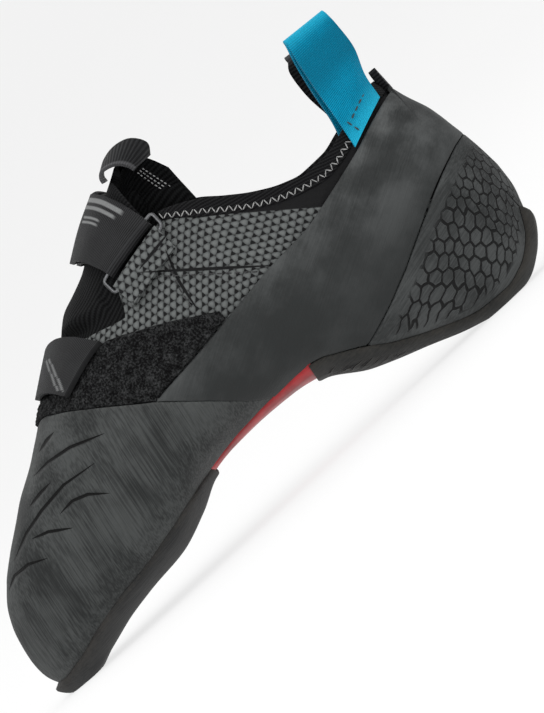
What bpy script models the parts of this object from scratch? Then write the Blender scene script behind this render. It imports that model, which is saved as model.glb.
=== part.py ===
"""Climbing shoe, left, standing on heel and toe.

Row frame: +X from toe to heel, +Y from the lateral to the medial side, +Z up.
The origin is the middle of the flat spot under the heel.
"""
import math

import bmesh
import bpy
from mathutils import Vector

# Driving dimensions, in millimetres; turns are in degrees
MM = 0.001
FLOOR = 0.0
SKIN_GAP = 0.5
UPPER_WALL = 2.0
TOE_RUBBER = 2.2
RAND_RUBBER = 2.6
CUP_RUBBER = 2.3
SOLE_RUBBER = 5.6
HEEL_RUBBER = 5.3
ARCH_SHEET = 2.8
PILE = 2.4
INSOLE = 2.2
TONGUE = 3.0
STRAP = 1.6
LOWER_STRAP = 2.2
RIBBON = 1.3
KEEPER = 1.2
HEEL_TAB = 2.0
WIRE_RADIUS = 0.9
CUFF_INSIDE = -1.8
CUFF_OUTSIDE = 0.9

# Borders are found on the last at this distance, and each piece stops this turn short of them
BORDER_OFF = 2.2
HALF_GAP = 0.4

LATERAL = 1
MEDIAL = -1
CROWN = 0.0
KEEL = 180.0

# The last: one row per section, from the toe's tip to the heel's back.
# x; keel and crown heights; lateral, middle and medial places across; height of the widest line as a
# share of the section; fullness of the section below and above that line
LAST_COLUMNS = ("x", "keel", "crown", "lateral", "middle", "medial", "belly", "under", "over")
LAST = [
    (-216.0, 15.5, 15.5, 17.0, 17.0, 17.0, 0.45, 2.3, 2.2),
    (-215.5, 11.2, 20.8, 11.0, 17.0, 22.5, 0.45, 2.3, 2.2),
    (-213.7, 7.0, 28.6, 5.0, 16.5, 27.0, 0.44, 2.4, 2.2),
    (-210.4, 4.2, 36.2, -1.0, 15.5, 30.5, 0.42, 2.6, 2.2),
    (-204.8, 4.2, 43.5, -10.0, 14.5, 34.5, 0.40, 2.8, 2.2),
    (-194.0, 8.0, 53.0, -20.5, 13.0, 38.5, 0.38, 3.0, 2.2),
    (-180.0, 12.2, 63.3, -30.0, 11.5, 41.5, 0.36, 3.0, 2.2),
    (-165.0, 15.1, 73.2, -37.5, 10.5, 43.5, 0.34, 3.0, 2.2),
    (-150.0, 17.1, 84.3, -42.0, 9.5, 44.3, 0.33, 3.0, 2.2),
    (-136.0, 22.4, 94.6, -43.5, 8.5, 43.5, 0.30, 2.8, 2.2),
    (-122.7, 29.0, 103.8, -43.0, 7.5, 41.0, 0.27, 2.6, 2.2),
    (-110.0, 31.2, 111.5, -41.0, 6.5, 37.5, 0.26, 2.5, 2.2),
    (-95.0, 31.8, 121.5, -38.0, 5.0, 33.5, 0.26, 2.4, 2.2),
    (-80.0, 31.2, 129.5, -35.5, 3.5, 30.5, 0.27, 2.4, 2.3),
    (-66.0, 28.6, 138.0, -33.0, 2.0, 29.5, 0.28, 2.4, 2.3),
    (-50.0, 19.4, 144.0, -31.0, 1.0, 29.5, 0.29, 2.4, 2.4),
    (-30.0, 12.1, 144.0, -30.0, 0.5, 30.0, 0.30, 2.8, 2.4),
    (-12.0, 6.0, 136.0, -29.0, 0.0, 29.5, 0.31, 3.4, 2.4),
    (-1.0, 3.7, 125.5, -27.9, 0.0, 28.3, 0.33, 3.6, 2.4),
    (9.9, 5.3, 111.0, -26.0, 0.0, 26.4, 0.37, 3.4, 2.3),
    (17.0, 9.2, 95.0, -22.6, 0.0, 23.0, 0.41, 2.7, 2.2),
    (21.2, 13.4, 80.5, -19.0, 0.0, 19.4, 0.42, 2.2, 2.1),
    (24.6, 18.4, 71.5, -15.0, 0.0, 15.4, 0.43, 2.1, 2.0),
    (27.0, 24.6, 60.0, -10.8, 0.1, 11.2, 0.44, 2.0, 2.0),
    (28.8, 31.3, 48.4, -5.6, 0.2, 6.0, 0.46, 2.0, 2.0),
    (29.4, 39.5, 39.5, 0.2, 0.2, 0.2, 0.50, 2.0, 2.0),
]

# Places along the shoe that every wrapped piece shares
STATIONS = [
    -216.0, -215.3, -213.4, -210.4, -207.6, -204.8, -199.0, -191.0, -182.0, -173.0, -164.0, -156.0, -152.0,
    -147.5, -140.5, -134.0, -129.6, -126.0, -118.8, -112.5, -106.6, -103.8, -101.2, -94.0, -86.0, -77.5, -69.3,
    -58.5, -47.5, -36.5, -25.5, -14.5, -4.5, 2.5, 8.5, 14.0, 17.4, 18.4, 19.2, 21.8, 24.0, 24.3, 26.2,
    27.6, 28.6, 29.4,
]
RINGS = 14
JUMP = 20.0

# Borders seen from the side: place along the shoe, height
SOLE_EDGE = [(-216.0, 6.4), (-210.2, 6.6), (-206.1, 7.6), (-201.3, 9.0), (-193.4, 11.8), (-182.0, 15.3),
             (-161.7, 18.9), (-144.7, 23.0), (-131.7, 26.4), (-120.4, 28.3)]
ARCH_EDGE = [(-119.8, 28.6), (-112.0, 29.9), (-104.0, 31.3), (-94.0, 32.0), (-86.0, 32.3), (-78.0, 32.4),
             (-69.0, 32.6)]
HEEL_EDGE = [(-69.3, 32.6), (-62.6, 31.2), (-58.4, 29.2), (-47.6, 23.1), (-39.1, 17.6), (-23.9, 10.5),
             (-7.1, 5.2), (3.2, 4.6), (11.0, 7.0), (19.9, 13.8), (25.5, 24.0)]
CUP_EDGE = [(-47.5, 23.1), (-36.5, 27.0), (-31.9, 28.9), (-24.8, 32.3), (-18.9, 35.1), (-10.9, 39.4),
            (-1.6, 44.2), (7.6, 48.9), (17.3, 53.3), (24.5, 55.7), (29.7, 56.4)]
TOE_EDGE = [(-156.0, 86.5), (-154.1, 84.3), (-144.9, 79.4), (-133.0, 71.0), (-123.7, 63.9), (-118.5, 59.9),
            (-107.3, 49.6), (-97.6, 40.8), (-91.8, 35.9), (-86.3, 32.4)]
RAND_EDGE = [(-118.8, 60.4), (-114.5, 61.1), (-103.8, 62.2), (-90.5, 63.7), (-73.7, 66.1), (-53.8, 68.6),
             (-37.9, 69.6), (-28.5, 71.6), (-15.8, 75.0), (-5.0, 78.1), (6.2, 82.2), (16.4, 85.4),
             (20.0, 86.0)]
PILE_EDGE = [(-151.0, 84.6), (-145.0, 87.6), (-138.0, 90.0), (-130.0, 91.2), (-119.5, 89.6), (-104.2, 83.1),
             (-77.3, 67.6)]
THROAT_EDGE = [(-130.5, 98.5), (-126.4, 95.6), (-118.0, 93.2), (-110.0, 91.0), (-106.6, 90.4),
               (-103.8, 95.5), (-101.2, 100.9), (-90.0, 103.8), (-74.0, 107.5), (-60.7, 98.6), (-46.8, 89.4),
               (-33.3, 82.6), (-25.7, 80.2), (-17.5, 79.0), (-8.0, 80.4), (2.0, 83.8), (10.0, 86.0),
               (16.0, 86.6), (19.2, 86.6)]
CUFF_EDGE = [(-76.0, 111.5), (-70.0, 110.0), (-57.7, 104.1), (-49.7, 97.9), (-40.6, 91.6), (-30.5, 86.6),
             (-22.7, 84.6), (-12.9, 84.8), (-4.4, 87.0), (5.0, 90.2), (12.0, 92.0), (17.8, 92.4)]
TONGUE_EDGE = [(-77.5, 129.0), (-70.0, 128.6), (-62.0, 126.0), (-59.5, 120.0)]
# The throat's far border, past the reach of the side view: place along the shoe, turn from the crown
MEDIAL_THROAT_Q = [(-130.5, 4.0), (-126.4, 12.0), (-113.0, 17.0), (-94.0, 22.0), (-86.0, 31.0),
                   (-77.5, 42.0)]

# The strap's ring: places of its bars along the shoe, their heights, and how far apart they lie
BAR_LIFT = 3.3
BAR_TURN = WIRE_RADIUS + 0.35 + STRAP / 2
BAR_FRONT = 105.8
BAR_REAR = 111.3
BAR_APART = 6.0
STRAP_FRONT = -99.6
STRAP_REAR = -77.0
KEEPER_FRONT = -101.4
KEEPER_REAR = -76.2

# Edges of the pull loops seen from the side, from base to fold: place along the shoe, height
LATERAL_LOOP_LEFT = [(-3.6, 79.8), (-1.4, 92.0), (0.2, 105.0), (2.0, 116.0), (3.6, 123.2)]
LATERAL_LOOP_RIGHT = [(13.8, 87.0), (17.0, 97.0), (20.8, 107.0), (21.8, 117.0), (21.8, 122.0)]
MEDIAL_LOOP_LEFT = [(-2.6, 80.0), (-2.0, 90.0), (-3.1, 104.0), (-1.4, 114.5), (1.0, 118.0)]
MEDIAL_LOOP_RIGHT = [(13.4, 87.0), (17.2, 97.0), (21.4, 105.0), (20.8, 112.0), (19.0, 116.5)]


def interpolate(table, x):
    """Height on a border at x, held at its ends."""
    if x <= table[0][0]:
        return table[0][1]
    for (x0, y0), (x1, y1) in zip(table, table[1:]):
        if x <= x1:
            return y0 + (y1 - y0) * (x - x0) / (x1 - x0)
    return table[-1][1]


def last_parameters():
    """Distance along the table, so that the blunt ends get room."""
    steps = [0.0]
    for a, b in zip(LAST, LAST[1:]):
        run = math.sqrt((b[0] - a[0]) ** 2 + (b[1] - a[1]) ** 2 + (b[2] - a[2]) ** 2)
        steps.append(steps[-1] + run)
    return steps


LAST_AT = last_parameters()


def slopes(column):
    """Slope of one column at each row, without overshoot."""
    values = [row[column] for row in LAST]
    rises = []
    for i in range(len(values) - 1):
        rises.append((values[i + 1] - values[i]) / (LAST_AT[i + 1] - LAST_AT[i]))
    result = [rises[0]]
    for left, right in zip(rises, rises[1:]):
        same_way = left * right > 0
        result.append(2.0 * left * right / (left + right) if same_way else 0.0)
    result.append(rises[-1])
    return result


LAST_SLOPES = [slopes(column) for column in range(len(LAST_COLUMNS))]


def section(along):
    """All columns of the last at a distance along its table."""
    along = min(max(along, 0.0), LAST_AT[-1])
    i = 0
    while i < len(LAST_AT) - 2 and along > LAST_AT[i + 1]:
        i += 1
    span = LAST_AT[i + 1] - LAST_AT[i]
    t = (along - LAST_AT[i]) / span
    start = (1 + 2 * t) * (1 - t) ** 2
    start_slope = t * (1 - t) ** 2 * span
    end = t * t * (3 - 2 * t)
    end_slope = t * t * (t - 1) * span
    found = {}
    for column, name in enumerate(LAST_COLUMNS):
        rate = LAST_SLOPES[column]
        found[name] = (start * LAST[i][column] + start_slope * rate[i]
                       + end * LAST[i + 1][column] + end_slope * rate[i + 1])
    return found


def along_of(x):
    """Distance along the table at which the last's section lies at x."""
    low = 0.0
    high = LAST_AT[-1]
    for _ in range(44):
        middle = (low + high) / 2
        if section(middle)["x"] < x:
            low = middle
        else:
            high = middle
    return (low + high) / 2


def raw_point(along, q):
    """Point of the upper's outer face. q is 0 on the crown, 180 on the keel, + lateral and - medial."""
    cut = section(along)
    if q > 180:
        q -= 360
    turn = math.radians(90 - abs(q))
    belly = cut["keel"] + cut["belly"] * (cut["crown"] - cut["keel"])
    if turn >= 0:
        tall = cut["crown"] - belly
        power = cut["over"]
    else:
        tall = belly - cut["keel"]
        power = cut["under"]
    wide = cut["middle"] - cut["lateral"] if q >= 0 else cut["medial"] - cut["middle"]
    side = -1 if q >= 0 else 1
    c = abs(math.cos(turn))
    s = abs(math.sin(turn))
    fullness = (c ** power + s ** power) ** (-1 / power)
    y = cut["middle"] + side * wide * c * fullness
    z = belly + math.copysign(tall * s * fullness, turn)
    return Vector((cut["x"], y, z))


def body_point(x, q, off=0.0):
    """Point at a distance outside the upper's outer face."""
    if x <= STATIONS[0] + 1e-6:
        return raw_point(0.0, q) + Vector((-off, 0, 0))
    if x >= STATIONS[-1] - 1e-6:
        return raw_point(LAST_AT[-1], q) + Vector((off, 0, 0))
    along = along_of(x)
    base = raw_point(along, q)
    if off == 0.0:
        return base
    reach = 0.25
    ahead = raw_point(min(along + reach, LAST_AT[-1]), q) - raw_point(max(along - reach, 0.0), q)
    across = raw_point(along, q + 0.6) - raw_point(along, q - 0.6)
    normal = across.cross(ahead).normalized()
    return base + normal * off


def angle_at(x, side, z, off):
    """The turn from the crown at which the face lies at height z."""
    low = CROWN
    high = KEEL
    for _ in range(26):
        middle = (low + high) / 2
        if body_point(x, side * middle, off).z > z:
            low = middle
        else:
            high = middle
    found = (low + high) / 2
    if found < 0.8:
        return CROWN
    return found


def edge(table, off, turn=0.0):
    """A border as a function of place and side. A positive turn moves it down the wall, in degrees."""
    def at(x, side):
        found = angle_at(x, side, interpolate(table, x), off)
        return min(max(found + turn, CROWN), KEEL) if found > CROWN else CROWN
    return at


def constant(q):
    return lambda x, side: q


def material(name, color, roughness, metallic=0.0):
    made = bpy.data.materials.new(name)
    made.use_nodes = True
    shader = made.node_tree.nodes["Principled BSDF"]
    shader.inputs["Base Color"].default_value = (*color, 1)
    shader.inputs["Roughness"].default_value = roughness
    shader.inputs["Metallic"].default_value = metallic
    made.diffuse_color = (*color, 1)
    return made


def finish(name, mesh, collection, look):
    made = bpy.data.objects.new(name, mesh)
    mesh.materials.append(look)
    mesh.shade_smooth()
    mesh.set_sharp_from_angle(angle=math.radians(40))
    collection.objects.link(made)
    return made


def stations_between(start, end):
    inside = [x for x in STATIONS if start + 0.2 < x < end - 0.2]
    return [start] + inside + [end]


def wrap(name, spans, inner, outer, collection, look, floor=None, rings=RINGS):
    """A closed sheet between two distances from the upper's outer face.

    spans gives, for each side, its first and last place and its low and high border. Both sides join
    where a border is the crown or the keel. All sheets share one grid of places and turns, so that their
    facets run alike and stay apart.
    """
    mesh = bpy.data.meshes.new(name)
    work = bmesh.new()
    points = {}
    faces = []

    def corner(x, side, ring, low, high):
        q = min(max(KEEL * (1 - ring / rings), high), low)
        if x <= STATIONS[0] + 1e-6 or x >= STATIONS[-1] - 1e-6:
            key = (x, "pole")
        elif q <= CROWN + 1e-3:
            key = (x, "crown")
        elif q >= KEEL - 1e-3:
            key = (x, "keel")
        else:
            key = (x, side, round(q, 3))
        if key not in points:
            t = (low - q) / (low - high) if low > high else 1.0
            far = body_point(x, side * q, outer(x, side, t))
            near = body_point(x, side * q, inner(x, side, t))
            if floor is not None:
                far.z = max(far.z, floor)
            points[key] = (work.verts.new(near * MM), work.verts.new(far * MM))
        return points[key]

    for side, (start, end, low, high) in spans.items():
        rows = []
        lows = []
        for x in stations_between(start, end):
            a = low(x, side)
            b = min(high(x, side), a)
            # a border that all but meets a grid line takes that line's place
            for border in (a, b):
                nearest = KEEL * round(border / KEEL * rings) / rings
                if abs(border - nearest) < 0.03:
                    a = nearest if border == a else a
                    b = nearest if border == b else b
            rows.append([corner(x, side, ring, a, min(b, a)) for ring in range(rings + 1)])
            lows.append(a)
        for i, (first, second) in enumerate(zip(rows, rows[1:])):
            jump = abs(lows[i + 1] - lows[i]) > JUMP
            for j in range(rings):
                ring = []
                for pair in (first[j], second[j], second[j + 1], first[j + 1]):
                    if pair not in ring:
                        ring.append(pair)
                fan = jump and len(ring) == 3 and j < rings / 2
                if len(ring) > 2 and not fan:
                    faces.append(ring)
    used = {}
    for ring in faces:
        work.faces.new([pair[1] for pair in ring])
        work.faces.new([pair[0] for pair in reversed(ring)])
        for a, b in zip(ring, ring[1:] + ring[:1]):
            marker = frozenset((a, b))
            used[marker] = None if marker in used else (a, b)
    for rim in used.values():
        if rim is not None:
            a, b = rim
            work.faces.new([a[0], b[0], b[1], a[1]])
    bmesh.ops.recalc_face_normals(work, faces=work.faces)
    if floor is not None:
        flat = [face for face in work.faces if all(abs(v.co.z - floor) < 1e-7 for v in face.verts)]
        bmesh.ops.dissolve_faces(work, faces=flat, use_verts=True)
    work.to_mesh(mesh)
    work.free()
    return finish(name, mesh, collection, look)


def even(value):
    return lambda x, side, t: value


def skived(full, thin, share, both=False):
    """Thickness that thins towards the high border, and the low one too where both is set."""
    def at(x, side, t):
        reach = min((1 - t) / share, 1.0)
        if both:
            reach = min(reach, t / share)
        return thin + (full - thin) * math.sqrt(max(reach, 0.0))
    return at


def ribbon(name, front, rear, thick, collection, look, across=3):
    """A strap between two edge lines of (x, q, distance), thickened by Solidify."""
    mesh = bpy.data.meshes.new(name)
    work = bmesh.new()
    grid = []
    for a, b in zip(front, rear):
        row = []
        for j in range(across + 1):
            t = j / across
            x, q, off = (a[k] + (b[k] - a[k]) * t for k in range(3))
            row.append(work.verts.new(body_point(x, q, off) * MM))
        grid.append(row)
    skin(work, grid)
    work.to_mesh(mesh)
    work.free()
    made = finish(name, mesh, collection, look)
    solid = made.modifiers.new("thickness", "SOLIDIFY")
    solid.thickness = thick * MM
    solid.offset = 0
    solid.use_even_offset = True
    return made


def skin(work, grid):
    for first, second in zip(grid, grid[1:]):
        for j in range(len(first) - 1):
            work.faces.new([first[j], second[j], second[j + 1], first[j + 1]])
    bmesh.ops.recalc_face_normals(work, faces=work.faces)


def free_ribbon(name, rows, thick, collection, look):
    """A ribbon through rows of points, thickened by Solidify."""
    mesh = bpy.data.meshes.new(name)
    work = bmesh.new()
    grid = [[work.verts.new(point * MM) for point in row] for row in rows]
    skin(work, grid)
    work.to_mesh(mesh)
    work.free()
    made = finish(name, mesh, collection, look)
    solid = made.modifiers.new("thickness", "SOLIDIFY")
    solid.thickness = thick * MM
    solid.offset = 0
    solid.use_even_offset = True
    return made


def build_upper(shoe, look):
    open_start = -202.0
    open_end = 8.0

    def low(x, side):
        if x <= open_start or x >= open_end:
            return KEEL
        ends = min((x - open_start) / 14, (open_end - x) / 10, 1.0)
        return KEEL - 27.0 * math.sqrt(ends)

    def lateral(x, side):
        return CROWN if x < -131 or x > 19 else edge(THROAT_EDGE, 0.0)(x, side)

    def medial(x, side):
        if x < -131 or x > 19:
            return CROWN
        if x < -77:
            return interpolate(MEDIAL_THROAT_Q, x)
        return edge(THROAT_EDGE, 0.0)(x, side)

    spans = {LATERAL: (STATIONS[0], STATIONS[-1], low, lateral),
             MEDIAL: (STATIONS[0], STATIONS[-1], low, medial)}
    return wrap("upper", spans, even(-UPPER_WALL), even(0.0), shoe, look)


def build_toe_rubber(shoe, look):
    def low(x, side):
        table = SOLE_EDGE if x < -120.4 else ARCH_EDGE
        gap = 3 * HALF_GAP if x < -211 else HALF_GAP
        return edge(table, BORDER_OFF, -gap)(x, side)

    def high(x, side):
        return CROWN if x < -155.5 else edge(TOE_EDGE, BORDER_OFF, HALF_GAP)(x, side)

    span = (STATIONS[0], -86.6, low, high)
    return wrap("toe_rubber", {LATERAL: span, MEDIAL: span}, even(1.3 * SKIN_GAP),
                skived(TOE_RUBBER, 1.6, 0.08), shoe, look)


def build_outsole(shoe, look):
    span = (-213.4, -120.9, constant(KEEL), edge(SOLE_EDGE, BORDER_OFF, HALF_GAP))
    return wrap("outsole", {LATERAL: span, MEDIAL: span}, even(SKIN_GAP), skived(SOLE_RUBBER, 2.9, 0.3),
                shoe, look, FLOOR)


def build_arch_plate(shoe, look):
    span = (-120.3, -69.6, constant(KEEL), edge(ARCH_EDGE, BORDER_OFF, HALF_GAP))
    return wrap("arch_plate", {LATERAL: span, MEDIAL: span}, even(SKIN_GAP), skived(ARCH_SHEET, 2.2, 0.3),
                shoe, look)


def build_heel_sole(shoe, look):
    span = (-69.0, 24.0, constant(KEEL), edge(HEEL_EDGE, BORDER_OFF, HALF_GAP))
    return wrap("heel_sole", {LATERAL: span, MEDIAL: span}, even(SKIN_GAP), skived(HEEL_RUBBER, 3.2, 0.25),
                shoe, look, FLOOR)


def build_heel_cup(shoe, look):
    def low(x, side):
        return KEEL if x > 24.1 else edge(HEEL_EDGE, BORDER_OFF, -HALF_GAP)(x, side)

    def high(x, side):
        return CROWN if x > 27.5 else edge(CUP_EDGE, BORDER_OFF, HALF_GAP)(x, side)

    span = (-46.9, STATIONS[-1], low, high)
    return wrap("heel_cup", {LATERAL: span, MEDIAL: span}, even(SKIN_GAP), even(CUP_RUBBER), shoe, look)


def build_rand(shoe, look):
    def low(x, side):
        if x > 27.2:
            return CROWN
        if x < -86.5:
            return edge(TOE_EDGE, BORDER_OFF, -HALF_GAP)(x, side)
        if x < -69.4:
            return edge(ARCH_EDGE, BORDER_OFF, -HALF_GAP)(x, side)
        table = HEEL_EDGE if x < -47.0 else CUP_EDGE
        return edge(table, BORDER_OFF, -HALF_GAP)(x, side)

    def high(x, side):
        return CROWN if x > 19 else edge(RAND_EDGE, BORDER_OFF)(x, side)

    span = (-118.8, 27.3, low, high)
    return wrap("rand", {LATERAL: span, MEDIAL: span}, even(SKIN_GAP), skived(RAND_RUBBER, 1.8, 0.12),
                shoe, look)


def build_insole(shoe, look):
    top = -UPPER_WALL - SKIN_GAP - INSOLE

    span = (-204.8, 2.5, constant(KEEL), constant(112.0))
    return wrap("insole", {LATERAL: span, MEDIAL: span}, even(top), even(top + INSOLE), shoe, look,
                rings=5)


def build_tongue(shoe, look):
    sunk = -UPPER_WALL - 1.2
    shown = -0.6

    def throat(x, side):
        if side == LATERAL:
            return edge(THROAT_EDGE, 0.0)(x, side)
        return interpolate(MEDIAL_THROAT_Q, x) if x < -77 else edge(THROAT_EDGE, 0.0)(x, side)

    def low(x, side):
        return throat(x, side) + (14.0 if side == LATERAL else 18.0)

    def high(x, side):
        return CROWN if x < -78 else edge(TONGUE_EDGE, -2.0)(x, side)

    def outer(x, side, t):
        q = low(x, side) + (high(x, side) - low(x, side)) * t
        room = min(throat(x + shift, side) for shift in (-7.0, 0.0, 7.0)) - q
        nose = (x + 124.0) / 12.0
        rise = min(max(min((room - 4.0) / 8.0, nose), 0.0), 1.0)
        return sunk + (shown - sunk) * rise * rise * (3 - 2 * rise)

    def inner(x, side, t):
        return outer(x, side, t) - TONGUE

    spans = {LATERAL: (-141.0, -78.0, low, high), MEDIAL: (-141.0, -59.5, low, high)}
    return wrap("tongue", spans, inner, outer, shoe, look)


def build_cuff(shoe, look):
    def low(x, side):
        return CROWN if x > 18.7 else edge(THROAT_EDGE, 0.0, -2 * HALF_GAP)(x, side)

    def high(x, side):
        return CROWN if x > 17.2 else edge(CUFF_EDGE, 0.0)(x, side)

    span = (-69.3, 18.8, low, high)
    return wrap("collar_cuff", {LATERAL: span, MEDIAL: span}, even(CUFF_INSIDE), even(CUFF_OUTSIDE),
                shoe, look)


def build_pile(shoe, look):
    def low(x, side):
        table = TOE_EDGE if x < -118.6 else RAND_EDGE
        return edge(table, BORDER_OFF, -3 * HALF_GAP)(x, side)

    span = (-147.3, -80.0, low, edge(PILE_EDGE, BORDER_OFF))
    return wrap("loop_field", {LATERAL: span}, even(0.8), skived(PILE, 1.6, 0.15, True), shoe, look)


def wall_q(x, side, z, off):
    return side * angle_at(x, side, z, off)


def degrees_per_mm(x, q, off):
    return 1.0 / (body_point(x, q + 0.5, off) - body_point(x, q - 0.5, off)).length


def fold(lift, radius, start, stop, steps=6):
    """Half turn round a bar: how far past the bar, in millimetres, and the distance off the last."""
    turns = [start + (stop - start) * k / steps for k in range(steps + 1)]
    return [(radius * math.cos(turn), lift + radius * math.sin(turn)) for turn in turns]


def build_upper_strap(shoe, look):
    """From the medial side over the tongue, round the ring's bar and back over itself."""
    bar_front = wall_q(STRAP_FRONT, LATERAL, BAR_FRONT, BAR_LIFT)
    bar_rear = wall_q(STRAP_REAR, LATERAL, BAR_REAR, BAR_LIFT)
    low = 1.3
    high = low + STRAP + 0.4
    under = [(-62.0, low), (-50.0, low), (-38.0, low), (-27.0, low), (-16.0, low), (-5.0, low)]
    share = [0.25, 0.6, 0.9]
    half_turn = fold(BAR_LIFT, BAR_TURN, -math.pi / 2, math.pi / 2)
    back = [(0.9, BAR_LIFT + BAR_TURN - 0.2), (0.6, high + 0.9), (0.25, high)]
    over = [(-5.0, high), (-16.0, high), (-27.0, high), (-38.0, high), (-46.0, high)]

    def line(bar, x_bar, x_crown, x_medial):
        def place(q):
            if q > 0:
                return x_crown + (x_bar - x_crown) * min(q / bar, 1.0)
            return x_crown + (x_medial - x_crown) * min(-q / 62.0, 1.0)
        path = list(under)
        path += [(bar * t, low) for t in share]
        scale = degrees_per_mm(x_bar, bar, BAR_LIFT)
        path += [(bar + past * scale, off) for past, off in half_turn]
        path += [(bar * t, off) for t, off in back]
        path += over
        return [(place(q), q, off) for q, off in path]

    front = line(bar_front, STRAP_FRONT, -104.5, -99.0)
    rear = line(bar_rear, STRAP_REAR, -85.0, -72.0)
    return ribbon("upper_strap", front, rear, STRAP, shoe, look)


def ring_corners():
    """The ring's four corners as (x, q, distance): strap bar first, then the quarter's bar."""
    corners = []
    for x, z in ((STRAP_FRONT - 3.2, BAR_FRONT - 0.8), (STRAP_REAR + 3.0, BAR_REAR + 0.7)):
        corners.append((x, wall_q(x, LATERAL, z, BAR_LIFT), BAR_LIFT))
    for x, z in ((STRAP_REAR + 3.0, BAR_REAR + 0.7), (STRAP_FRONT - 3.2, BAR_FRONT - 0.8)):
        corners.append((x, wall_q(x, LATERAL, z - BAR_APART, BAR_LIFT), BAR_LIFT - 0.2))
    return corners


def build_ring(shoe, look):
    """Wire ring with rounded ends, laid on the quarter's edge."""
    corners = ring_corners()
    points = []
    for i, corner_here in enumerate(corners):
        before = corners[i - 1]
        after = corners[(i + 1) % 4]
        here = body_point(*corner_here)
        before = body_point(*before)
        after = body_point(*after)
        into = here + (before - here).normalized() * 1.8
        out = here + (after - here).normalized() * 1.8
        for k in range(3):
            t = k / 2
            points.append(into * (1 - t) ** 2 + here * 2 * t * (1 - t) + out * t * t)
        steps = 5 if i in (0, 2) else 0
        for k in range(1, steps):
            t = k / steps
            x, q, off = (corner_here[c] + (corners[(i + 1) % 4][c] - corner_here[c]) * t for c in range(3))
            points.append(body_point(x, q, off))
    curve = bpy.data.curves.new("strap_ring", "CURVE")
    curve.dimensions = "3D"
    spline = curve.splines.new("POLY")
    spline.points.add(len(points) - 1)
    for target, point in zip(spline.points, points):
        target.co = (*(point * MM), 1)
    spline.use_cyclic_u = True
    curve.bevel_depth = WIRE_RADIUS * MM
    curve.bevel_resolution = 2
    made = bpy.data.objects.new("strap_ring", curve)
    curve.materials.append(look)
    shoe.objects.link(made)
    return made


def build_keeper(shoe, look):
    """The quarter's edge strip, folded round the ring's second bar."""
    turn = WIRE_RADIUS + 0.5 + KEEPER / 2
    lift = BAR_LIFT - 0.2
    low = SKIN_GAP + KEEPER / 2
    half_turn = fold(lift, turn, -math.pi / 2, -3 * math.pi / 2)

    def line(x, z_bar):
        bar = wall_q(x, LATERAL, z_bar - BAR_APART, BAR_LIFT)
        path = [(8.4, low), (5.2, low), (2.4, low)]
        path += half_turn
        path += [(2.6, lift + turn - 0.4), (5.2, low + KEEPER + 0.7), (8.4, low + KEEPER + 0.35)]
        scale = degrees_per_mm(x, bar, BAR_LIFT)
        return [(x, bar + past * scale, off) for past, off in path]

    front = line(KEEPER_FRONT, BAR_FRONT - 0.5)
    rear = line(KEEPER_REAR, BAR_REAR + 0.2)
    return ribbon("ring_keeper", front, rear, KEEPER, shoe, look)


def build_lower_strap(shoe, look):
    """From the medial side over the vamp, its free end pressed on the pile."""
    lift = PILE + 0.7 + LOWER_STRAP / 2
    low = 0.4 + LOWER_STRAP / 2
    end_front = wall_q(-139.9, LATERAL, 83.1, lift)
    end_rear = wall_q(-118.4, LATERAL, 89.7, lift)
    medial = [(1.0, low), (0.83, low), (0.66, low), (0.5, low), (0.33, low + 0.2), (0.17, low + 1.4),
              (0.0, lift)]

    def line(q_end, x_end, x_crown, x_medial):
        rubber = interpolate(TOE_EDGE, x_medial) + 3.0
        q_medial = wall_q(x_medial, MEDIAL, rubber, TOE_RUBBER)
        path = [(x_crown + (x_medial - x_crown) * share, q_medial * share, off) for share, off in medial]
        for k in range(1, 5):
            t = k / 4
            path.append((x_crown + (x_end - x_crown) * t ** 1.2, q_end * t, lift))
        return path

    front = line(end_front, -139.9, -149.0, -143.0)
    rear = line(end_rear, -118.4, -129.8, -119.0)
    return ribbon("lower_strap", front, rear, LOWER_STRAP, shoe, look)


def build_pull_loop(name, side, left, right, shift, shoe, look):
    """A ribbon sewn outside the collar, folded over at its top and sewn again inside.

    left and right give the ribbon's two edges, seen from the side, as (x, z) from base to top.
    """
    outside = CUFF_OUTSIDE + 0.8 + RIBBON / 2
    inside = -UPPER_WALL - 1.3 - RIBBON / 2
    fold_radius = 2.0
    across = 5
    rows = []

    def row(level, off, lean, drop=0.0):
        made = []
        for j in range(across + 1):
            t = j / across
            x = left[level][0] + (right[level][0] - left[level][0]) * t + shift * lean
            z = left[level][1] + (right[level][1] - left[level][1]) * t
            base_x = left[0][0] + (right[0][0] - left[0][0]) * t + shift * lean
            base_z = left[0][1] + (right[0][1] - left[0][1]) * t
            if level == 0:
                made.append(body_point(x, wall_q(x, side, z + drop, off), off))
                continue
            share = min(max((z - base_z - 9.0) / 28.0, 0.0), 1.0)
            hold_x = base_x if off == outside else x
            start = body_point(hold_x, wall_q(hold_x, side, base_z + 4.0, off), off).y
            goal = -side * (25.5 - 9.5 * t)
            if off == inside:
                goal += side * 2 * fold_radius
            made.append(Vector((x, start + (goal - start) * share, z)))
        return made

    top = len(left) - 1
    for level in range(top + 1):
        rows.append(row(level, outside, 0.0))
    crest_out = rows[-1]
    for k in range(1, 5):
        turn = math.pi * k / 5
        lifted = []
        for point in crest_out:
            y = point.y + side * fold_radius * (1 - math.cos(turn))
            lifted.append(Vector((point.x + shift * 0.3 * k / 5, y, point.z + fold_radius * math.sin(turn))))
        rows.append(lifted)
    for level in range(top, -1, -1):
        rows.append(row(level, inside, 1.0 - 0.7 * level / top, drop=2.0))
    return free_ribbon(name, rows, RIBBON, shoe, look)


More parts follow.
